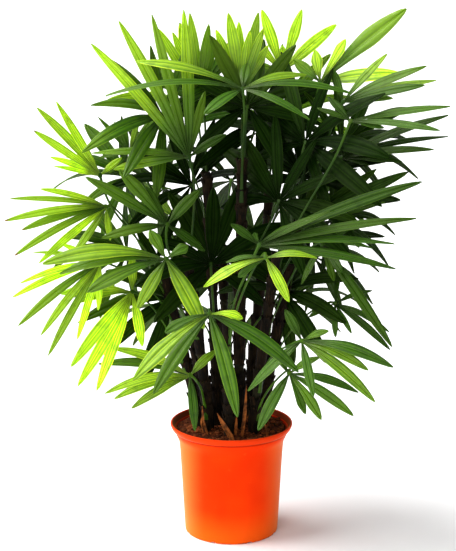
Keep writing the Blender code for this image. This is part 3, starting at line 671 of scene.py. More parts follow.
cane_bark, tree, shader = new_material("cane_bark")
place = own_place(tree)
streaks = grain(tree, place, 180.0, 5.0, 0.65, (1.0, 1.0, 0.12))
patches = grain(tree, place, 26.0, 3.0)
colour = in_patches(tree, patches, 0.38, 0.62, (0.002, 0.003, 0.001), (0.011, 0.010, 0.003))
colour = in_patches(tree, streaks, 0.48, 0.74, colour, (0.040, 0.024, 0.007))
finish_dull(tree, shader, colour, 0.72, 0.12)
raise_bumps(tree, shader, streaks, 0.6, 0.0015)

fibre_brown, tree, shader = new_material("sheath_fibre")
place = own_place(tree)
threads = grain(tree, place, 330.0, 5.0, 0.7, (1.0, 1.0, 0.10))
patches = grain(tree, place, 34.0, 3.0)
colour = in_patches(tree, patches, 0.36, 0.64, (0.002, 0.0013, 0.0006), (0.010, 0.0055, 0.0018))
colour = in_patches(tree, threads, 0.52, 0.72, colour, (0.040, 0.019, 0.006))
finish_dull(tree, shader, colour, 0.88, 0.10)
raise_bumps(tree, shader, threads, 0.9, 0.002)

draws = random.Random(23)
for number, cane in enumerate(CANES, 1):
    stretches, sleeves = [], []
    length = cane[4] - SOIL_TOP + 0.004
    count = round(length / INTERNODE)
    for step in range(count):
        low = SOIL_TOP - 0.004 + length * step / count
        high = SOIL_TOP - 0.004 + length * (step + 1) / count
        girth = 2 * cane[5] * (1.06 - 0.30 * step / count)
        way = upright_way(cane, low, high, draws.uniform(*ANY_TURN))
        stretches.append(lay(internode, "internode", way, girth, girth))
        if draws.random() < (BARE_ABOVE if step else BARE_AT_FOOT):
            continue
        stretch = draws.uniform(*SHEATH_LENGTHS)
        low = max(high - draws.uniform(*SHEATH_DROPS), SOIL_TOP - 0.002)
        top = min(low + stretch, cane[4] + 0.004)
        way = upright_way(cane, low, top, draws.uniform(*ANY_TURN))
        girth *= draws.uniform(0.98, 1.10)
        sleeves.append(lay(sheath, "sheath", way, girth, girth))
        for _ in range(STRANDS_A_SHEATH):
            out = level_turned(draws.uniform(*ANY_TURN))
            foot = cane_point(cane, draws.uniform(low, top)) + out * girth * 0.52
            tip = foot + out * draws.uniform(0.002, 0.010)
            tip.z += draws.uniform(-0.012, 0.028)
            way = bowed_way(foot, tip, Vector((0, 0, 1)).cross(out), out, 0.002)
            sleeves.append(lay(strand, "strand", way, STRAND_WIDTH, STRAND_WIDTH))
    stem = join_up(stretches, f"cane_stem_{number:02d}")
    stem.data.materials.append(cane_bark)
    wrap = join_up(sleeves, f"cane_sheaths_{number:02d}")
    wrap.data.materials.append(fibre_brown)
    for piece in (stem, wrap):
        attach(piece, "root")
    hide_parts(f"cane_{number:02d}")
for pattern in (internode, sheath, strand):
    bpy.data.objects.remove(pattern)

# Dry scraps of old sheath stand and lean in the peat about the canes' feet. Each is a thin
# curled strip that comes to a point.
start_fresh()
bpy.ops.mesh.primitive_grid_add(x_subdivisions=4, y_subdivisions=10, size=1, location=(0, 0.5, 0))
scrap = bpy.context.object
scrap.name = "scrap_pattern"
bpy.ops.object.transform_apply(location=True)
for column, height in enumerate((0.20, 0.05, 0.0, 0.05, 0.20)):
    across = column / 4 - 0.5
    choose(scrap, lambda co: abs(co.x - across) < 0.001)
    bpy.ops.transform.translate(value=(0, 0, height))
scrap_rows = ((0.0, 0.55), (0.1, 0.75), (0.6, 0.9), (0.7, 0.72), (0.8, 0.5), (0.9, 0.26), (1.0, 0.06))
row_widths(scrap, scrap_rows)
skin = scrap.modifiers.new("skin", "SOLIDIFY")
skin.thickness = 0.12
skin.offset = 0.0
finish_modifiers(scrap)
settle(scrap, 50)

dry_sheath, tree, shader = new_material("dry_sheath")
place = own_place(tree)
streaks = grain(tree, place, 260.0, 4.0, 0.6, (1.0, 1.0, 0.3))
patches = grain(tree, place, 60.0, 2.0)
colour = in_patches(tree, patches, 0.35, 0.62, (0.060, 0.020, 0.005), (0.280, 0.080, 0.015))
colour = in_patches(tree, streaks, 0.52, 0.72, colour, (0.030, 0.011, 0.003))
finish_dull(tree, shader, colour, 0.8, 0.12)
raise_bumps(tree, shader, streaks, 0.6, 0.001)

draws = random.Random(5)
# Foot x and y, tip x, y and z, and width
leaning = [
    (0.004, -0.084, -0.028, -0.064, 0.262, 0.010),
    (-0.046, -0.046, -0.058, -0.048, 0.272, 0.008),
    (0.070, -0.064, 0.062, -0.060, 0.246, 0.006),
    (0.020, -0.066, 0.029, -0.076, 0.322, 0.007),
]
for cane in CANES:
    out = level_turned(draws.uniform(*ANY_TURN))
    foot = Vector((cane[0], cane[1], 0)) + out * cane[5] * 1.5
    tip = foot + out * draws.uniform(0.004, 0.014) + Vector((draws.uniform(-0.012, 0.012), 0, 0))
    top = SOIL_TOP + draws.uniform(0.020, 0.045)
    leaning.append((*foot.xy, *tip.xy, top, draws.uniform(0.004, 0.007)))
scraps = []
for x, y, tip_x, tip_y, tip_z, width in leaning:
    foot = Vector((x, y, SOIL_TOP - 0.004))
    tip = Vector((tip_x, tip_y, tip_z))
    out = Vector((x, y, 0)).normalized()
    way = bowed_way(foot, tip, (tip - foot).cross(out).normalized(), out, 0.004)
    scraps.append(lay(scrap, "scrap", way, width, width))
flakes = join_up(scraps, "dry_scraps")
flakes.data.materials.append(dry_sheath)
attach(flakes, "root")
bpy.data.objects.remove(scrap)


# How the fronds stand: each is a fan of blades that meet at a small hub, on a long thin stalk
# that clasps its cane. The solids' own lay-out is worked through again here, blade by blade,
# so that every finer blade keeps its place.

SEAT_GAP = 0.0003
HUB_RADIUS = 0.0065
HUB_HEIGHT = 0.0032
PETIOLE_WIDTH = 0.0052
PETIOLE_THICKNESS = 0.0040
CLASP_LENGTH = 0.026
BLADE_THICKNESS = 0.0016
BLADE_FOLD = 0.05
# How far a level blade rolls from its fan's plane to face upwards
FACE_UP = 0.45
CLEARANCE = 0.0008
LEAST_SPACING = math.radians(17)
# Along a blade: how far, how wide and how thick, as shares of the whole
BLADE_STATIONS = ((0.22, 0.72, 1.0), (0.52, 1.0, 1.0), (0.84, 0.80, 0.9), (1.0, 0.0, 0.0))
# Along a petiole from the hub to the cane: how far, how wide and how thick
PETIOLE_STATIONS = ((0.12, 1.2, 1.0), (0.45, 1.0, 1.0), (0.80, 1.15, 1.0))


def spray(x, z, middle, spread, reach, count):
    """Tips spaced evenly round a hub, every second one a little shorter."""
    tips = []
    for index in range(count):
        angle = math.radians(middle + spread * (index / (count - 1) - 0.5))
        length = reach * (1.0 if index % 2 else 0.88)
        tips.append((x + length * math.cos(angle), z + length * math.sin(angle)))
    return tips


# Each frond, in centimetres as seen from the front: the cane, the height of its foot on the cane,
# the hub (x, y, z), how fast the fan goes back (+) or forward (-) per cm to the right and per cm up,
# how much the blades arch, their width in millimetres, and the tips (x, z).
FRONDS = (
    (0, 57, (-8, -8, 77), (0.15, 0.2), 0.06, 23,
     [(-25, 99), (-21, 102), (-15, 103), (-9, 104), (-26, 78), (-22, 75), (-5, 89), (-1, 81)]),
    (4, 70, (2, -10, 90), (0.1, 1.6), 0.1, 33,
     [(-17, 94), (-23, 89), (22, 89), (14, 92), (14, 85), (-9, 93), (-5, 86), (3, 94)]),
    (4, 74, (2, 3, 88), (0.0, -0.1), 0.04, 24,
     [(-2, 103), (0, 101), (2, 100), (3, 103), (4, 101), (-3, 100), (7, 97)]),
    (7, 68, (10, 12, 91), (0.2, 0.3), 0.03, 30,
     [(6, 103), (14, 103), (21, 100), (11, 96), (4, 98), (2, 93)]),
    (3, 64, (17, 2, 90), (-0.3, 0.2), 0.04, 36,
     [(33, 104), (22, 98), (32, 92), (16, 96), (12, 94)]),
    (3, 60, (21, -5, 87), (-0.4, 0.3), 0.05, 22,
     [(29, 96), (36, 94), (37, 92), (36, 89), (30, 88), (19, 93)]),
    (2, 57, (22, -10, 84), (-0.3, 0.8), 0.04, 22,
     [(40, 87), (38, 82), (28, 83), (18, 88), (16, 86)]),
    (3, 53, (21, -2, 76), (-0.5, 0.8), 0.05, 22,
     [(40, 80), (38, 78), (32, 76), (26, 75), (17, 71), (19, 80), (41, 84)]),
    (2, 50, (14, -5, 64), (-0.3, -0.1), 0.03, 24,
     [(16, 73), (27, 75), (33, 75), (10, 68), (29, 69)]),
    (1, 46, (5, -22, 63), (-0.2, 0.6), 0.06, 22,
     [(18, 68), (35, 72), (33, 68), (29, 64), (29, 60), (4, 65), (11, 67), (0, 66)]),
    (1, 42, (6, -28, 62), (-0.1, 0.6), 0.14, 25,
     [(15, 62), (-5, 57), (1, 59), (10, 55), (-1, 61)]),
    (2, 45, (17, -12, 61), (-0.4, 0.6), 0.12, 20,
     [(21, 56), (19, 55), (29, 45), (26, 61), (22, 64), (13, 54)]),
    (3, 37, (20, -5, 48), (-0.5, 0.5), 0.12, 17,
     [(30, 44), (30, 41), (23, 43), (20, 42), (15, 45), (27, 51), (21, 54)]),
    (2, 33, (13, -18, 44), (-0.3, 0.6), 0.12, 25,
     [(29, 40), (26, 35), (25, 40), (18, 46), (15, 35), (3, 35), (10, 49)]),
    (2, 27, (11, -12, 36), (-0.1, 0.5), 0.14, 25,
     [(5, 26), (14, 29), (17, 28), (23, 29), (24, 33), (6, 40), (17, 39)]),
    (1, 35, (-4, -25, 51), (0.1, 0.5), 0.14, 31,
     [(-18, 41), (-14, 38), (1, 34), (12, 41), (-12, 48), (2, 50)]),
    (0, 27, (-8, -10, 35), (0.3, 0.4), 0.14, 24,
     [(-19, 30), (-22, 32), (-24, 33), (-25, 39), (-23, 41), (-7, 25), (-3, 39)]),
    (0, 44, (-12, -20, 60), (0.2, 0.5), 0.13, 33,
     [(-5, 48), (-17, 52), (-31, 59), (-34, 60), (-8, 62), (-15, 65), (-26, 55)]),
    (6, 36, (-19, -8, 51), (0.5, 0.4), 0.12, 25,
     [(-30, 39), (-29, 36), (-26, 35), (-32, 52), (-30, 50), (-17, 41), (-19, 58)]),
    (6, 44, (-25, -10, 57), (0.5, 0.6), 0.08, 18,
     [(-39, 55), (-40, 53), (-39, 48), (-35, 46), (-34, 43),
      (-37, 60), (-32, 61), (-25, 49), (-29, 45)]),
    (6, 49, (-24, -5, 67), (0.5, 0.6), 0.06, 18,
     [(-41, 70), (-42, 66), (-39, 65), (-36, 71), (-40, 60), (-36, 59), (-31, 59), (-23, 61)]),
    (6, 53, (-25, -5, 73), (0.5, 0.3), 0.04, 19,
     [(-35, 87), (-33, 87), (-37, 82), (-34, 77), (-33, 76), (-21, 76)]),
    (0, 51, (-12, -13, 65), (0.2, 0.3), 0.08, 29,
     [(-27, 74), (-16, 72), (-21, 75), (-24, 63), (-6, 71), (-5, 60)]),
    (9, 56, (-20, 5, 76), (0.2, 0.1), 0.08, 15,
     [(-26, 83), (-23, 82), (-21, 82), (-18, 83), (-14, 84), (-26, 75), (-24, 72)]),
    (5, 71, (-6, 6, 87), (0.2, -0.1), 0.06, 24,
     [(-14, 100), (-11, 99), (-8, 103), (-6, 101), (-3, 98), (-17, 94), (-14, 89), (-1, 94)]),
    (5, 66, (-13, -2, 84), (0.9, 0.4), 0.12, 28, spray(-13, 84, 150, 230, 15, 8)),
    (4, 52, (9, -5, 68), (-0.7, 0.3), 0.10, 33, spray(9, 68, 60, 260, 16, 9)),
    (2, 56, (14, -3, 79), (-0.9, 0.3), 0.10, 33, spray(14, 79, 70, 280, 17, 9)),
    (5, 42, (-4, -6, 56), (0.6, 0.3), 0.12, 33, spray(-4, 56, 90, 262, 16, 9)),
    (4, 64, (3, 2, 84), (0.0, 0.2), 0.10, 33, spray(3, 84, 85, 270, 15, 9)),
    (4, 38, (10, 2, 49), (-0.6, 0.4), 0.14, 31, spray(10, 49, 50, 280, 15, 9)),
    (5, 40, (-12, 0, 49), (0.8, 0.4), 0.14, 32, spray(-12, 49, 150, 280, 16, 9)),
    (8, 60, (-7, 18, 83), (0.1, -0.4), 0.12, 26, spray(-7, 83, 100, 220, 18, 7)),
    (7, 66, (9, 22, 80), (-0.2, -0.5), 0.16, 26, spray(9, 80, 70, 230, 18, 8)),
    (8, 52, (0, 26, 67), (0.0, -0.8), 0.22, 28, spray(0, 67, -90, 250, 18, 8)),
    (9, 50, (-14, 22, 66), (0.4, -0.7), 0.20, 27, spray(-14, 66, 190, 230, 17, 7)),
    (7, 54, (13, 22, 66), (-0.4, -0.7), 0.20, 27, spray(13, 66, -10, 230, 17, 8)),
    (7, 60, (22, 13, 76), (-0.9, -0.4), 0.16, 26, spray(22, 76, 10, 230, 15, 9)),
    (9, 53, (-21, 13, 70), (0.9, -0.4), 0.16, 26, spray(-21, 70, 200, 220, 14, 8)),
    (3, 46, (20, 8, 62), (-1.0, -0.2), 0.20, 26, spray(20, 62, -20, 220, 13, 8)),
    (9, 42, (-21, 9, 55), (1.0, -0.2), 0.20, 26, spray(-21, 55, 200, 220, 14, 8)),
    (8, 38, (0, 24, 49), (0.0, -0.8), 0.22, 27, spray(0, 49, -90, 240, 17, 7)),
    (9, 32, (-13, 18, 42), (0.5, -0.7), 0.22, 26, spray(-13, 42, 215, 220, 14, 8)),
    (7, 34, (12, 19, 43), (-0.4, -0.7), 0.22, 26, spray(12, 43, -50, 230, 15, 8)),
    (7, 44, (17, 15, 53), (-0.9, -0.3), 0.20, 26, spray(17, 53, -20, 220, 14, 8)),
    (4, 64, (5, 10, 81), (0.7, 0.1), 0.10, 32, spray(5, 81, 60, 290, 16, 9)),
    (5, 60, (-8, 8, 69), (0.8, -0.2), 0.12, 31, spray(-8, 69, 140, 280, 16, 9)),
    (7, 60, (14, 6, 71), (-0.9, 0.1), 0.12, 32, spray(14, 71, 60, 290, 16, 9)),
)


def ring_points(centre, radius):
    """The corners of a cane's section."""
    step = 2 * math.pi / CANE_SIDES
    return [
        centre + Vector((radius * math.sin(step * side), radius * math.cos(step * side), 0.0))
        for side in range(CANE_SIDES)
    ]


def cane_solid(cane):
    """The cane's rings as points and triangles, to keep petioles and blades clear of it."""
    points = []
    for centre, radius in cane_rings(cane)[1:]:
        points += ring_points(centre, radius)
    return points, tube_faces(len(points) // CANE_SIDES, CANE_SIDES)


def tube_faces(rings, sides):
    """Triangles of a closed tube whose points come ring by ring."""
    faces = []
    for ring in range(rings - 1):
        for side in range(sides):
            a = ring * sides + side
            b = ring * sides + (side + 1) % sides
            faces += [(a, b, b + sides), (a, b + sides, a + sides)]
    last = (rings - 1) * sides
    for side in range(1, sides - 1):
        faces.append((0, side + 1, side))
        faces.append((last, last + side, last + side + 1))
    return faces


class Room:
    """Every solid placed so far, each with its box."""

    def __init__(self):
        self.solids = []

    def add(self, points, faces, owner):
        self.solids.append((owner, *box_of(points), BVHTree.FromPolygons(points, faces)))

    def is_clear(self, points, faces, owner=None):
        low, high = box_of(points)
        tree = None
        for other, other_low, other_high, other_tree in self.solids:
            if other == owner and owner is not None:
                continue
            if any(low[i] > other_high[i] or high[i] < other_low[i] for i in range(3)):
                continue
            tree = tree or BVHTree.FromPolygons(points, faces)
            if tree.overlap(other_tree):
                return False
        return True


def box_of(points):
    """The lowest and highest corner of some points."""
    low = [min(point[i] for point in points) for i in range(3)]
    high = [max(point[i] for point in points) for i in range(3)]
    return low, high


def pot_zone():
    """A plain drum just outside the pot and peat."""
    sides, reach = 24, RIM_RADIUS + 0.005
    points = []
    for height in (0.0, POT_HEIGHT + 0.004):
        for step in range(sides):
            angle = 2 * math.pi * step / sides
            points.append(Vector((reach * math.cos(angle), reach * math.sin(angle), height)))
    return points, tube_faces(2, sides)


def cross_section(centre, side, up, width, thickness, fold, fat=0.0):
    """Low edge, top, high edge and keel of a flat diamond, its middle sunk by the fold."""
    half = width / 2 + fat
    middle = centre - up * fold
    return [
        centre - side * half,
        middle + up * (thickness / 2 + fat),
        centre + side * half,
        middle - up * (thickness / 2 + fat),
    ]


def curve_point(controls, share):
    """A point on the Bezier curve of these controls."""
    points = list(controls)
    while len(points) > 1:
        points = [first.lerp(second, share) for first, second in zip(points, points[1:])]
    return points[0]


def curve_direction(controls, share):
    """Which way the curve goes at a share of its length."""
    ahead = curve_point(controls, min(1.0, share + 0.01))
    behind = curve_point(controls, max(0.0, share - 0.01))
    return (ahead - behind).normalized()


def blade_curve(fan, corner, tip):
    """The Bezier controls of one blade from its corner of the hub to its tip, and its side."""
    root = fan["corners"][corner]
    chord = tip - root
    length = chord.length
    level = 1.0 - abs(chord.z) / length
    face = fan["normal"].lerp(Vector((0, 0, 1)), FACE_UP * level)
    side = face.cross(chord).normalized()
    lift = chord.cross(side).normalized()
    rise = Vector((0, 0, 1)) - chord * (chord.z / length**2)
    arch = (lift * 0.8 + rise * 0.6) * length * fan["arch"] * (0.4 + 0.9 * level)
    return (root, root + chord * 0.45 + arch, tip), side


def blade_sections(fan, corner, tip, width, fat=0.0):
    """The solid's sections of one blade."""
    controls, side = blade_curve(fan, corner, tip)
    length = (tip - controls[0]).length
    sections = []
    for share, wide, thick in BLADE_STATIONS:
        along = curve_direction(controls, share)
        up = along.cross(side).normalized()
        across = width * wide
        if share == BLADE_STATIONS[0][0]:
            across = min(across, fan["room"][corner] * length * share)
        thickness = BLADE_THICKNESS * thick
        centre = curve_point(controls, share)
        sections.append(cross_section(centre, side, up, across, thickness, across * BLADE_FOLD, fat))
    return sections


def hub_section(fan, corner, fat=0.0):
    """The diamond at a corner of the hub: half-way to its neighbours, and its top and bottom."""
    angles = fan["angles"]
    count = len(angles)
    here = fan_point(fan, angles[corner])
    before = fan_point(fan, angles[(corner - 1) % count])
    after = fan_point(fan, angles[(corner + 1) % count])
    up = fan["normal"] * (HUB_HEIGHT / 2 + fat)
    return [(here + before) / 2, here + up, (here + after) / 2, here - up]


def fan_point(fan, angle):
    """The hub's corner at an angle round the fan."""
    return fan["hub"] + (fan["right"] * math.cos(angle) + fan["ahead"] * math.sin(angle)) * HUB_RADIUS


def tube_points(sections):
    """The points of a run of sections, one after another."""
    return [point for section in sections for point in section]


def diamond_faces(rings):
    """Triangles of a closed tube of diamonds, each side split from its middle to the edge ahead."""
    faces = [(0, 3, 1), (1, 3, 2)]
    for low in range(0, 4 * rings - 4, 4):
        for edge, middle in ((0, 1), (2, 1), (2, 3), (0, 3)):
            old_edge, old_middle = low + edge, low + middle
            new_edge, new_middle = old_edge + 4, old_middle + 4
            faces += [(old_edge, old_middle, new_edge), (old_middle, new_middle, new_edge)]
    last = 4 * rings - 4
    return faces + [(last, last + 1, last + 3), (last + 1, last + 2, last + 3)]


def shorten_start(sections):
    """The same run of sections, begun a fifth of the way along the first one."""
    start = [first.lerp(second, 0.2) for first, second in zip(sections[0], sections[1])]
    return [start] + sections[1:]


def spread_angles(angles):
    """Push neighbours that are too close apart, evenly, keeping their order."""
    angles = list(angles)
    for _ in range(200):
        for index in range(len(angles) - 1):
            lack = LEAST_SPACING - (angles[index + 1] - angles[index])
            if lack > 0:
                angles[index] -= lack / 2
                angles[index + 1] += lack / 2
    return angles


def lay_out_fan(frond, shift):
    """The hub's place and directions, its corners and which tip each corner serves."""
    _, _, hub, (back_right, back_up), arch, width, tips = frond
    hub = Vector(hub) / 100 + Vector((0, 0, shift))
    normal = Vector((back_right, -1.0, back_up)).normalized()
    if normal.z < 0:
        normal = -normal
    right = Vector((1.0, back_right, 0.0)).normalized()
    ahead = normal.cross(right)
    fan = {"hub": hub, "normal": normal, "right": right, "ahead": ahead}
    fan.update(arch=arch, width=width / 1000)
    places = []
    for x, z in tips:
        depth = hub.y + back_right * (x / 100 - hub.x) + back_up * (z / 100 + shift - hub.z)
        tip = Vector((x / 100, depth, z / 100 + shift))
        away = tip - hub
        places.append((math.atan2(away.dot(ahead), away.dot(right)), tip))
    places.sort(key=lambda place: place[0])
    return set_corners(fan, places)


def set_corners(fan, places):
    """Turn the list so that the widest gap closes it, and put the petiole in that gap."""
    count = len(places)
    turn = 2 * math.pi
    gaps = [(places[(i + 1) % count][0] - places[i][0]) % turn for i in range(count)]
    start = (gaps.index(max(gaps)) + 1) % count
    ordered = places[start:] + places[:start]
    angles = [ordered[0][0] + (angle - ordered[0][0]) % turn for angle, _ in ordered]
    angles = spread_angles(angles)
    gap = turn - (angles[-1] - angles[0])
    stalk = angles[-1] + gap / 2
    filler = min(gap / 4, math.radians(32))
    fan["angles"] = angles + [stalk - filler, stalk, stalk + filler]
    fan["tips"] = [tip for _, tip in ordered]
    fan["stalk"] = count + 1
    fan["corners"] = [fan_point(fan, angle) for angle in fan["angles"]]
    fan["room"] = [0.86 * narrowest(angles, index) for index in range(count)]
    return fan


def narrowest(angles, index):
    """The smaller of the angles between a blade and its neighbours."""
    beside = [other for other in (index - 1, index + 1) if 0 <= other < len(angles)]
    gaps = [abs(angles[index] - angles[other]) for other in beside]
    return min(min(gaps), math.radians(40))


def petiole_curve(fan, cane, foot, turn, bow, seat):
    """The Bezier controls of a petiole from the hub down to its cane, and its directions."""
    angle = fan["angles"][fan["stalk"]]
    away = fan["right"] * math.cos(angle) + fan["ahead"] * math.sin(angle)
    start = fan["corners"][fan["stalk"]]
    axis = cane_direction(cane, foot)
    axis_point = cane_point(cane, foot)
    outward = start - axis_point
    outward -= axis * outward.dot(axis)
    outward = (Matrix.Rotation(turn, 3, axis) @ outward).normalized()
    offset = cane[5] + PETIOLE_THICKNESS * 0.5 + seat
    end = axis_point + outward * offset
    reach = (start - end).length
    sideways = axis.cross(outward) * bow
    controls = (
        start,
        start + away * reach * 0.22 - Vector((0, 0, reach * 0.16)) + sideways,
        end + axis * reach * 0.45 + outward * reach * 0.10 + sideways,
        end,
    )
    side_start = fan["normal"].cross(away).normalized()
    side_end = outward.cross(axis)
    if side_start.dot(side_end) < 0:
        side_end = -side_end
    return controls, side_start, side_end, axis, clasp_end(cane, foot, outward, offset)


def petiole_sections(fan, cane, foot, turn, bow, seat, fat=0.0):
    """The solid's sections of a petiole and of the clasp that lies along the cane."""
    controls, side_start, side_end, axis, clasp = petiole_curve(fan, cane, foot, turn, bow, seat)
    sections = []
    for share, wide, thick in PETIOLE_STATIONS:
        along = curve_direction(controls, share)
        side = side_start.lerp(side_end, share)
        side = (side - along * side.dot(along)).normalized()
        up = along.cross(side)
        width, thickness = PETIOLE_WIDTH * wide, PETIOLE_THICKNESS * thick
        centre = curve_point(controls, share)
        sections.append(cross_section(centre, side, up, width, thickness, 0.0, fat))
    up = -axis.cross(side_end)
    for point, wide, thick in ((controls[-1], 1.7, 0.9), (clasp, 2.0, 0.6)):
        width, thickness = PETIOLE_WIDTH * wide, PETIOLE_THICKNESS * thick
        sections.append(cross_section(point, side_end, up, width, thickness, 0.0, fat))
    return sections


def clasp_end(cane, foot, outward, offset):
    """Where the clasp ends, lower down the cane."""
    return cane_point(cane, foot - CLASP_LENGTH) + outward * offset


def petiole_trials():
    """(hub shift, foot shift, turn, bow) to try, the smallest changes first."""
    trials = []
    for hub_shift in (0.0, 0.012, -0.012, 0.024):
        for foot_shift in (0.0, -0.012, 0.012, -0.024, 0.024, -0.036):
            for turn in (0, 25, -25, 50, -50, 80, -80, 115, -115):
                for bow in (0.0, 0.02, -0.02, 0.045, -0.045, 0.07, -0.07):
                    cost = 40 * abs(hub_shift) + 25 * abs(foot_shift) + abs(turn) / 60 + 20 * abs(bow)
                    trials.append((cost, hub_shift, foot_shift, math.radians(turn), bow))
    trials.sort(key=lambda trial: trial[0])
    return trials


def seat_petiole(fan, cane, foot, turn, bow, room):
    """The closest seat to the cane that is clear, or None."""
    faces = tube_faces(len(PETIOLE_STATIONS) + 3, 4)
    for step in range(20):
        seat = -0.0045 + 0.0003 * step
        sections = petiole_sections(fan, cane, foot, turn, bow, seat, SEAT_GAP)
        points = tube_points([hub_section(fan, fan["stalk"], SEAT_GAP)] + sections)
        if room.is_clear(points, faces):
            fan["stalk_curve"] = petiole_curve(fan, cane, foot, turn, bow, seat)
            return petiole_sections(fan, cane, foot, turn, bow, seat)
    return None


def hub_solid(fan, fat=0.0):
    """The hub's prism as points and triangles."""
    count = len(fan["angles"])
    rings = []
    for sign in (-1, 1):
        for point in fan["corners"]:
            away = (point - fan["hub"]).normalized() * fat
            rings.append(point + away + fan["normal"] * sign * (HUB_HEIGHT / 2 + fat))
    return rings, tube_faces(2, count)


def place_petiole(name, frond, room):
    """The first trial whose hub and petiole are clear of everything standing."""
    cane = CANES[frond[0]]
    for _, hub_shift, foot_shift, turn, bow in petiole_trials():
        fan = lay_out_fan(frond, hub_shift)
        if not room.is_clear(*hub_solid(fan, 0.004)):
            continue
        foot = min(frond[1] / 100 + foot_shift, cane[4] - 0.004)
        sections = seat_petiole(fan, cane, foot, turn, bow, room)
        if sections:
            break
    else:
        raise RuntimeError(f"{name}: no clear way for the petiole")
    fan["petiole"] = [hub_section(fan, fan["stalk"])] + sections
    room.add(*hub_solid(fan), name)
    room.add(tube_points(fan["petiole"]), tube_faces(len(fan["petiole"]), 4), name)
    return fan


def blade_trials():
    """(sideways, up, length share) changes to a blade's tip, the smallest first."""
    trials = [(0.0, 0.0, 1.0)]
    for length in (1.0, 0.85, 0.7, 0.55):
        for ring in range(1, 10):
            for step in range(8):
                angle = math.pi / 2 + step * math.pi / 4
                trials.append((0.01 * ring * math.cos(angle), 0.01 * ring * math.sin(angle), length))
    return trials


def place_blades(name, fan, room, draws):
    """Each blade's tip moves, a little more each time, until the blade is clear."""
    faces = diamond_faces(len(BLADE_STATIONS) + 1)
    siblings = Room()
    stalk = shorten_start(fan["petiole"])
    siblings.add(tube_points(stalk), diamond_faces(len(stalk)), name)
    fan["blades"] = []
    solids = []
    for corner, tip in enumerate(fan["tips"]):
        width = fan["width"] * draws.uniform(0.82, 1.06)
        away = tip - fan["hub"]
        width *= min(1.0, 0.62 + away.length * 2.0)
        side = fan["normal"].cross(away).normalized()
        for sideways, up, length in blade_trials():
            goal = fan["hub"] + away * length + side * sideways + fan["normal"] * up
            fat = [hub_section(fan, corner, CLEARANCE)]
            fat += blade_sections(fan, corner, goal, width, CLEARANCE)
            if not room.is_clear(tube_points(fat), faces, name):
                continue
            if siblings.is_clear(tube_points(shorten_start(fat)), faces):
                break
        else:
            raise RuntimeError(f"{name}: no room for blade {corner + 1}")
        sections = [hub_section(fan, corner)] + blade_sections(fan, corner, goal, width)
        fan["blades"].append((corner, goal, width))
        solids.append(sections)
        siblings.add(tube_points(shorten_start(sections)), faces, name)
    for sections in solids:
        room.add(tube_points(sections), faces, name)


room = Room()
room.add(*pot_zone(), "pot")
for cane in CANES:
    room.add(*cane_solid(cane), "cane")
blade_draws = random.Random(7)
names = [f"frond_{index + 1:02d}" for index in range(len(FRONDS))]
fans = [place_petiole(name, frond, room) for name, frond in zip(names, FRONDS)]
for name, fan in zip(names, fans):
    place_blades(name, fan, room, blade_draws)


# The fronds: thin glossy blades, pleated along two or three ribs and blunt or frayed at the
# tip, fanned out from a folded green joint on a smooth stalk. One blade of each kind of tip
# is shaped once, then copied and bent to each place.

BLADE_COLUMNS = 8
BLADE_ROWS = 20
# How far a blade may turn about its length, in radians, and bow aside, as a share of its length
BLADE_TWIST = 0.50
BLADE_SWAY = 0.014
# How wide a blade may be where it leaves the joint
BLADE_ROOT = 0.0034
# A blade's painted light is its frond's, times a number from LIGHT_SPREAD, and more above LIT_HEIGHT.
# Its age is a number from AGE_SPREAD, with painted glare added high on the crown and far to the left,
# where the light falls, above the height and past the place given next; it shows as yellowing.
LIGHT_SPREAD = (0.56, 1.36)
LIT_HEIGHT = 0.92
AGE_SPREAD = (-0.25, 0.25)
GLARE_HEIGHT = 0.90
GLARE_LEFT = 0.16
STALK_WIDTH = 0.0046
STALK_THICKNESS = 0.0036
STALK_CUTS = 24
# Where a stalk reaches its cane and begins to clasp it, as a share of its length
CLASP_START = 0.86
WAY_POINTS = 25
# The folded joint, as shares of the solid hub's radius, radius and height
JOINT_SHARES = (0.78, 0.78, 0.45)
# Along a blade: how wide, as a share of its widest
BLADE_OUTLINE = (
    (0.00, 0.30), (0.05, 0.34), (0.10, 0.44), (0.15, 0.57), (0.20, 0.69), (0.25, 0.78), (0.30, 0.85),
    (0.35, 0.91), (0.40, 0.95), (0.45, 0.98), (0.50, 1.00), (0.55, 1.01), (0.60, 1.01), (0.65, 0.99),
    (0.70, 0.94), (0.75, 0.88), (0.80, 0.79), (0.85, 0.67), (0.90, 0.52), (0.95, 0.33), (1.00, 0.12),
)
# How much light is painted into each frond's green, from 0 for the shade deep in the crown to 1 in
# full sun. Blades whose tips stand out of the top of the crown are at least half light.
LEAF_LIGHT = (
    0.90, 0.76, 1.00, 1.00, 0.92, 0.52, 0.34, 0.20, 0.20, 0.36, 0.62, 0.34,
    0.26, 0.44, 0.58, 0.66, 0.62, 0.60, 0.98, 0.92, 0.92, 0.98, 0.55, 0.78,
    0.95, 0.48, 0.07, 0.05, 0.07, 0.08, 0.10, 0.16, 0.66, 0.50, 0.12, 0.25,
    0.10, 0.20, 0.48, 0.14, 0.42, 0.12, 0.34, 0.18, 0.14, 0.06, 0.10, 0.05,
)
# Across a blade: how high each column stands, as a share of its width, from edge to edge
BLADE_PLEATS = (-0.010, 0.030, 0.062, 0.030, -0.030, 0.030, 0.062, 0.030, -0.010)


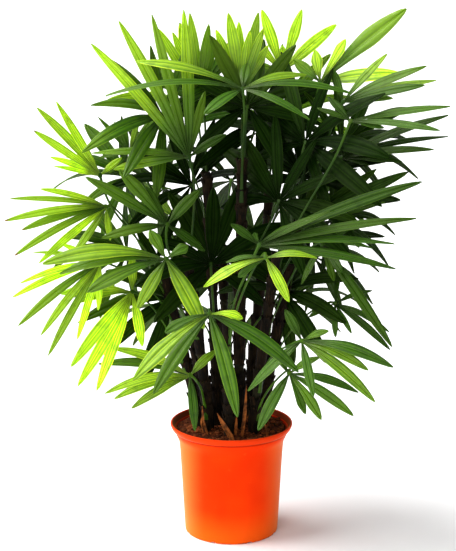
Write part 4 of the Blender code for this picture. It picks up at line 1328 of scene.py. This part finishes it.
def shape_blade(name, tips):
    """A pleated blade pattern along Y, its end row pulled out or in by the tips."""
    start_fresh()
    bpy.ops.mesh.primitive_grid_add(
        x_subdivisions=BLADE_COLUMNS, y_subdivisions=BLADE_ROWS, size=1, location=(0, 0.5, 0)
    )
    blade = bpy.context.object
    blade.name = name
    bpy.ops.object.transform_apply(location=True)
    for column, height in enumerate(BLADE_PLEATS):
        across = column / BLADE_COLUMNS - 0.5
        choose(blade, lambda co: abs(co.x - across) < 0.001)
        bpy.ops.transform.translate(value=(0, 0, height))
    row_widths(blade, BLADE_OUTLINE, "X")
    for column, pull in enumerate(tips):
        across = (column / BLADE_COLUMNS - 0.5) * BLADE_OUTLINE[-1][1]
        choose(blade, lambda co: co.y > 0.99 and abs(co.x - across) < 0.001)
        bpy.ops.transform.translate(value=(0, pull, 0))
    start_fresh()
    skin = blade.modifiers.new("skin", "SOLIDIFY")
    skin.thickness = 0.030
    skin.offset = 0.0
    finish_modifiers(blade)
    bpy.context.view_layer.objects.active = blade
    blade.select_set(True)
    bpy.ops.object.shade_smooth_by_angle(angle=math.radians(50))
    start_fresh()
    return blade


blade_kinds = [
    shape_blade("pointed_blade", (-0.030, -0.018, -0.008, -0.002, 0, -0.002, -0.008, -0.018, -0.030)),
    shape_blade("blunt_blade", (-0.022, -0.006, -0.010, -0.001, -0.006, 0, -0.009, -0.003, -0.020)),
    shape_blade("cleft_blade", (-0.020, -0.004, 0.0, -0.010, -0.030, -0.012, 0.0, -0.006, -0.024)),
]

start_fresh()
bpy.ops.mesh.primitive_cylinder_add(vertices=10, radius=0.5, depth=1, location=(0, 0, 0))
stalk_pattern = bpy.context.object
stalk_pattern.name = "stalk_pattern"
along_y(stalk_pattern)
cut_across(stalk_pattern, [step / STALK_CUTS for step in range(1, STALK_CUTS)])
settle(stalk_pattern, 60)

start_fresh()
bpy.ops.mesh.primitive_uv_sphere_add(segments=20, ring_count=10, radius=1, location=(0, 0, 0))
joint_pattern = bpy.context.object
joint_pattern.name = "joint_pattern"
settle(joint_pattern, 80)


def give_tone(piece, tone, age_and_glare):
    """The blade's painted light, and its age with painted glare, kept in a second UV map for its
    material.
    """
    layer = piece.data.uv_layers.get("tone") or piece.data.uv_layers.new(name="tone")
    layer.uv.foreach_set("vector", [tone, age_and_glare] * len(piece.data.loops))


def name_across(piece):
    """The first UV map named for what it holds: across and along the blade."""
    mesh = piece.data
    layer = mesh.uv_layers[0] if mesh.uv_layers else mesh.uv_layers.new(name="blade")
    layer.name = "blade"


def blade_way(fan, corner, tip, twist, sway):
    """The way along a blade, begun inside the hub, with a little twist and sway of its own."""
    controls, side = blade_curve(fan, corner, tip)
    length = (tip - controls[0]).length
    shares = np.linspace(0, 1, WAY_POINTS)
    centres, sides, ups = [], [], []
    for share in shares:
        centre = curve_point(controls, share)
        if share == 0:
            centre = centre.lerp(fan["hub"], 0.7)
        along = curve_direction(controls, share)
        turn = Matrix.Rotation(twist * share**1.5, 3, along)
        here = turn @ side
        centres.append(centre + here * sway * length * math.sin(math.pi * share))
        sides.append(here)
        ups.append(along.cross(here).normalized())
    return (shares, np.array(centres), np.array(sides), np.array(ups)), length


def stalk_way(fan):
    """The way down a petiole and along the cane, and how wide and thick it is."""
    controls, side_start, side_end, axis, clasp = fan["stalk_curve"]
    shares = np.linspace(0, 1, WAY_POINTS)
    centres, sides, ups, widths, thicks = [], [], [], [], []
    for share in shares:
        run = min(1.0, share / CLASP_START)
        centre = curve_point(controls, run)
        along = curve_direction(controls, run)
        if share > CLASP_START:
            centre = controls[-1].lerp(clasp, (share - CLASP_START) / (1 - CLASP_START))
            along = (clasp - controls[-1]).normalized()
        if share == 0:
            centre = centre.lerp(fan["hub"], 0.6)
        side = side_start.lerp(side_end, run)
        side = (side - along * side.dot(along)).normalized()
        centres.append(centre)
        sides.append(side)
        ups.append(along.cross(side))
        flare = max(0.0, (share - 0.70) / 0.30)
        widths.append(STALK_WIDTH * (1 + 0.9 * flare + 0.25 * math.exp(-share * 18)))
        thicks.append(STALK_THICKNESS * (1 - 0.25 * flare))
    return (shares, np.array(centres), np.array(sides), np.array(ups)), widths, thicks


def out_of_crown(tree, place):
    """How far a point stands from the dark middle of the crown, about 1 at the outside."""
    moved = add_node(
        tree, "ShaderNodeMapping", Vector=place, Location=(-0.10, 0.05, -1.75), Scale=(2.5, 2.8, 2.5)
    )
    reach = add_node(tree, "ShaderNodeVectorMath", i0=moved.outputs[0])
    reach.operation = "LENGTH"
    return reach.outputs["Value"]


def scale_colour(tree, mask, share, colour, factors):
    """A colour made lighter or darker by three factors where the mask is 1, up to a share."""
    changed = blend_colours(tree, 1.0, colour, factors, "MULTIPLY")
    return tint(tree, mask, share, colour, changed)


leaf_green, tree, shader = new_material("leaf_green")
place = own_place(tree)
spread_map = tree.nodes.new("ShaderNodeUVMap")
spread_map.uv_map = "blade"
tone_map = tree.nodes.new("ShaderNodeUVMap")
tone_map.uv_map = "tone"
spread = add_node(tree, "ShaderNodeSeparateXYZ", Vector=spread_map.outputs[0])
tone = add_node(tree, "ShaderNodeSeparateXYZ", Vector=tone_map.outputs[0])
across, along = spread.outputs["X"], spread.outputs["Y"]
# Painted shade: darker towards the middle of the crown, lighter at its outside
painted_crown_light = ramp_between(tree, out_of_crown(tree, place), 0.25, 0.95)
painted_crown_light = sum_of(tree, "MULTIPLY_ADD", painted_crown_light, 0.75, 0.25)
shade = sum_of(tree, "MULTIPLY", tone.outputs["X"], painted_crown_light)
age_and_glare = tone.outputs["Y"]
from_rib = sum_of(tree, "ABSOLUTE", sum_of(tree, "SUBTRACT", across, 0.5))
mottle = grain(tree, place, 48.0, 4.0)
# Painted light and shade: from near-black green through mid green to pale yellow-green
low = sum_of(tree, "MULTIPLY", shade, 2.0, clamp=True)
high = sum_of(tree, "SUBTRACT", sum_of(tree, "MULTIPLY", shade, 2.0), 1.0, clamp=True)
colour = blend_colours(tree, low, (0.0020, 0.0100, 0.0006), (0.034, 0.130, 0.0025))
colour = blend_colours(tree, high, colour, (0.370, 0.680, 0.022))
# Painted shade at the root, darker soft clouds, and painted sheen down the middle of each half
root = the_rest(tree, ramp_between(tree, along, 0.0, 0.40))
colour = scale_colour(tree, root, 1.0, colour, (0.45, 0.50, 0.45))
clouds = ramp_between(tree, mottle, 0.45, 0.75)
colour = scale_colour(tree, clouds, 1.0, colour, (0.62, 0.68, 0.60))
painted_pleat_sheen = sum_of(tree, "ABSOLUTE", sum_of(tree, "SUBTRACT", from_rib, 0.22))
painted_pleat_sheen = the_rest(tree, ramp_between(tree, painted_pleat_sheen, 0.02, 0.14))
colour = scale_colour(tree, painted_pleat_sheen, 0.70, colour, (2.8, 2.0, 2.4))
# Fine dark veins, and a paler rib and margins, partly their own colour and partly painted glare
veins = add_node(tree, "ShaderNodeMath", i0=sum_of(tree, "MULTIPLY", across, 150.0))
veins.operation = "SINE"
fine = ramp_between(tree, veins.outputs[0], 0.2, 1.0)
colour = scale_colour(tree, fine, 0.45, colour, (0.45, 0.55, 0.45))
rib_and_glare = the_rest(tree, ramp_between(tree, from_rib, 0.016, 0.060))
colour = scale_colour(tree, rib_and_glare, 0.90, colour, (3.6, 2.3, 4.0))
margin_and_glare = ramp_between(tree, from_rib, 0.425, 0.485)
colour = scale_colour(tree, margin_and_glare, 0.70, colour, (4.6, 2.7, 5.0))
# Yellower towards the tip with age and with painted glare, and dry at the very tip of the oldest
yellowing = ramp_between(tree, along, 0.0, 0.9)
colour = tint(tree, yellowing, age_and_glare, colour, (0.300, 0.520, 0.012))
dry = sum_of(tree, "ADD", along, sum_of(tree, "MULTIPLY", mottle, 0.05))
dry = ramp_between(tree, dry, 0.985, 1.012)
dry = sum_of(tree, "MULTIPLY", dry, ramp_between(tree, age_and_glare, 0.66, 0.74))
colour = blend_colours(tree, dry, colour, (0.300, 0.130, 0.035))
tree.links.new(colour, shader.inputs["Base Color"])
gloss = add_node(tree, "ShaderNodeMapRange", i0=mottle, i1=0.3, i2=0.7, i3=0.26, i4=0.42)
tree.links.new(gloss.outputs[0], shader.inputs["Roughness"])
sheen = add_node(tree, "ShaderNodeMapRange", i0=shade, i1=0.0, i2=0.5, i3=0.02, i4=0.60)
tree.links.new(sheen.outputs[0], shader.inputs["Specular IOR Level"])
shader.inputs["Specular Tint"].default_value = (1.0, 1.0, 0.62, 1)
relief = sum_of(tree, "ADD", sum_of(tree, "MULTIPLY", veins.outputs[0], 0.35), mottle)
raise_bumps(tree, shader, relief, 0.35, 0.0008)
glow = tree.nodes.new("ShaderNodeBsdfTranslucent")
tree.links.new(blend_colours(tree, 1.0, colour, (2.4, 2.0, 1.2), "MULTIPLY"), glow.inputs["Color"])
both = add_node(tree, "ShaderNodeMixShader", i0=0.30, i1=shader.outputs[0], i2=glow.outputs[0])
tree.links.new(both.outputs[0], tree.nodes["Material Output"].inputs["Surface"])

stalk_green, tree, shader = new_material("stalk_green")
place = own_place(tree)
streaks = grain(tree, place, 140.0, 3.0, 0.6, (1.0, 1.0, 0.2))
patches = grain(tree, place, 20.0, 2.0)
colour = in_patches(tree, patches, 0.35, 0.65, (0.018, 0.062, 0.002), (0.045, 0.110, 0.004))
colour = in_patches(tree, streaks, 0.55, 0.75, colour, (0.070, 0.090, 0.010))
# Painted shade: darker towards the middle of the crown
painted_crown_shade = the_rest(tree, ramp_between(tree, out_of_crown(tree, place), 0.20, 0.85))
colour = tint(tree, painted_crown_shade, 0.70, colour, (0.003, 0.009, 0.001))
finish_dull(tree, shader, colour, 0.42, 0.12)
raise_bumps(tree, shader, streaks, 0.3, 0.0008)

draws = random.Random(31)
for name, fan, frond_light in zip(names, fans, LEAF_LIGHT):
    blades = []
    for corner, tip, width in fan["blades"]:
        kind = blade_kinds[draws.choice((0, 0, 1, 1, 2))]
        twist = draws.uniform(-BLADE_TWIST, BLADE_TWIST)
        sway = draws.uniform(-BLADE_SWAY, BLADE_SWAY)
        way, length = blade_way(fan, corner, tip, twist, sway)
        shares = way[0]
        outline = np.interp(shares, *zip(*BLADE_OUTLINE))
        limit = BLADE_ROOT + fan["room"][corner] * length * shares
        widths = np.minimum(width, limit / outline)
        blade = lay(kind, "blade", way, widths, widths)
        light = max(frond_light, min(0.50, (tip.z - LIT_HEIGHT) * 6.0))
        # Painted glare, added to the age past the left and high on the crown, where the light falls
        painted_glare = max(0.0, -tip.x - GLARE_LEFT) * 2.4 + max(0.0, tip.z - GLARE_HEIGHT) * 3.0
        tone = min(1.0, light * draws.uniform(*LIGHT_SPREAD))
        age_and_glare = min(0.9, max(0.0, draws.uniform(*AGE_SPREAD) + painted_glare))
        give_tone(blade, tone, light * age_and_glare)
        name_across(blade)
        blades.append(blade)
    frond = join_up(blades, f"{name}_blades")
    frond.data.materials.clear()
    frond.data.materials.append(leaf_green)
    way, widths, thicks = stalk_way(fan)
    stalk = lay(stalk_pattern, "stalk", way, widths, thicks)
    size = [a * b for a, b in zip(JOINT_SHARES, (HUB_RADIUS, HUB_RADIUS, HUB_HEIGHT))]
    axes = Matrix((fan["right"], fan["ahead"], fan["normal"])).transposed()
    joint = piece_from(joint_pattern.data.copy(), "joint")
    joint.data.transform(Matrix.Translation(fan["hub"]) @ axes.to_4x4() @ Matrix.Diagonal((*size, 1)))
    stalk = join_up([stalk, joint], f"{name}_stalk")
    stalk.data.materials.clear()
    stalk.data.materials.append(stalk_green)
    for piece in (frond, stalk):
        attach(piece, "root")
    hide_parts(name)
for pattern in (*blade_kinds, stalk_pattern, joint_pattern):
    bpy.data.objects.remove(pattern)


# The bounds of the dressed palm.

low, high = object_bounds()
start_fresh()
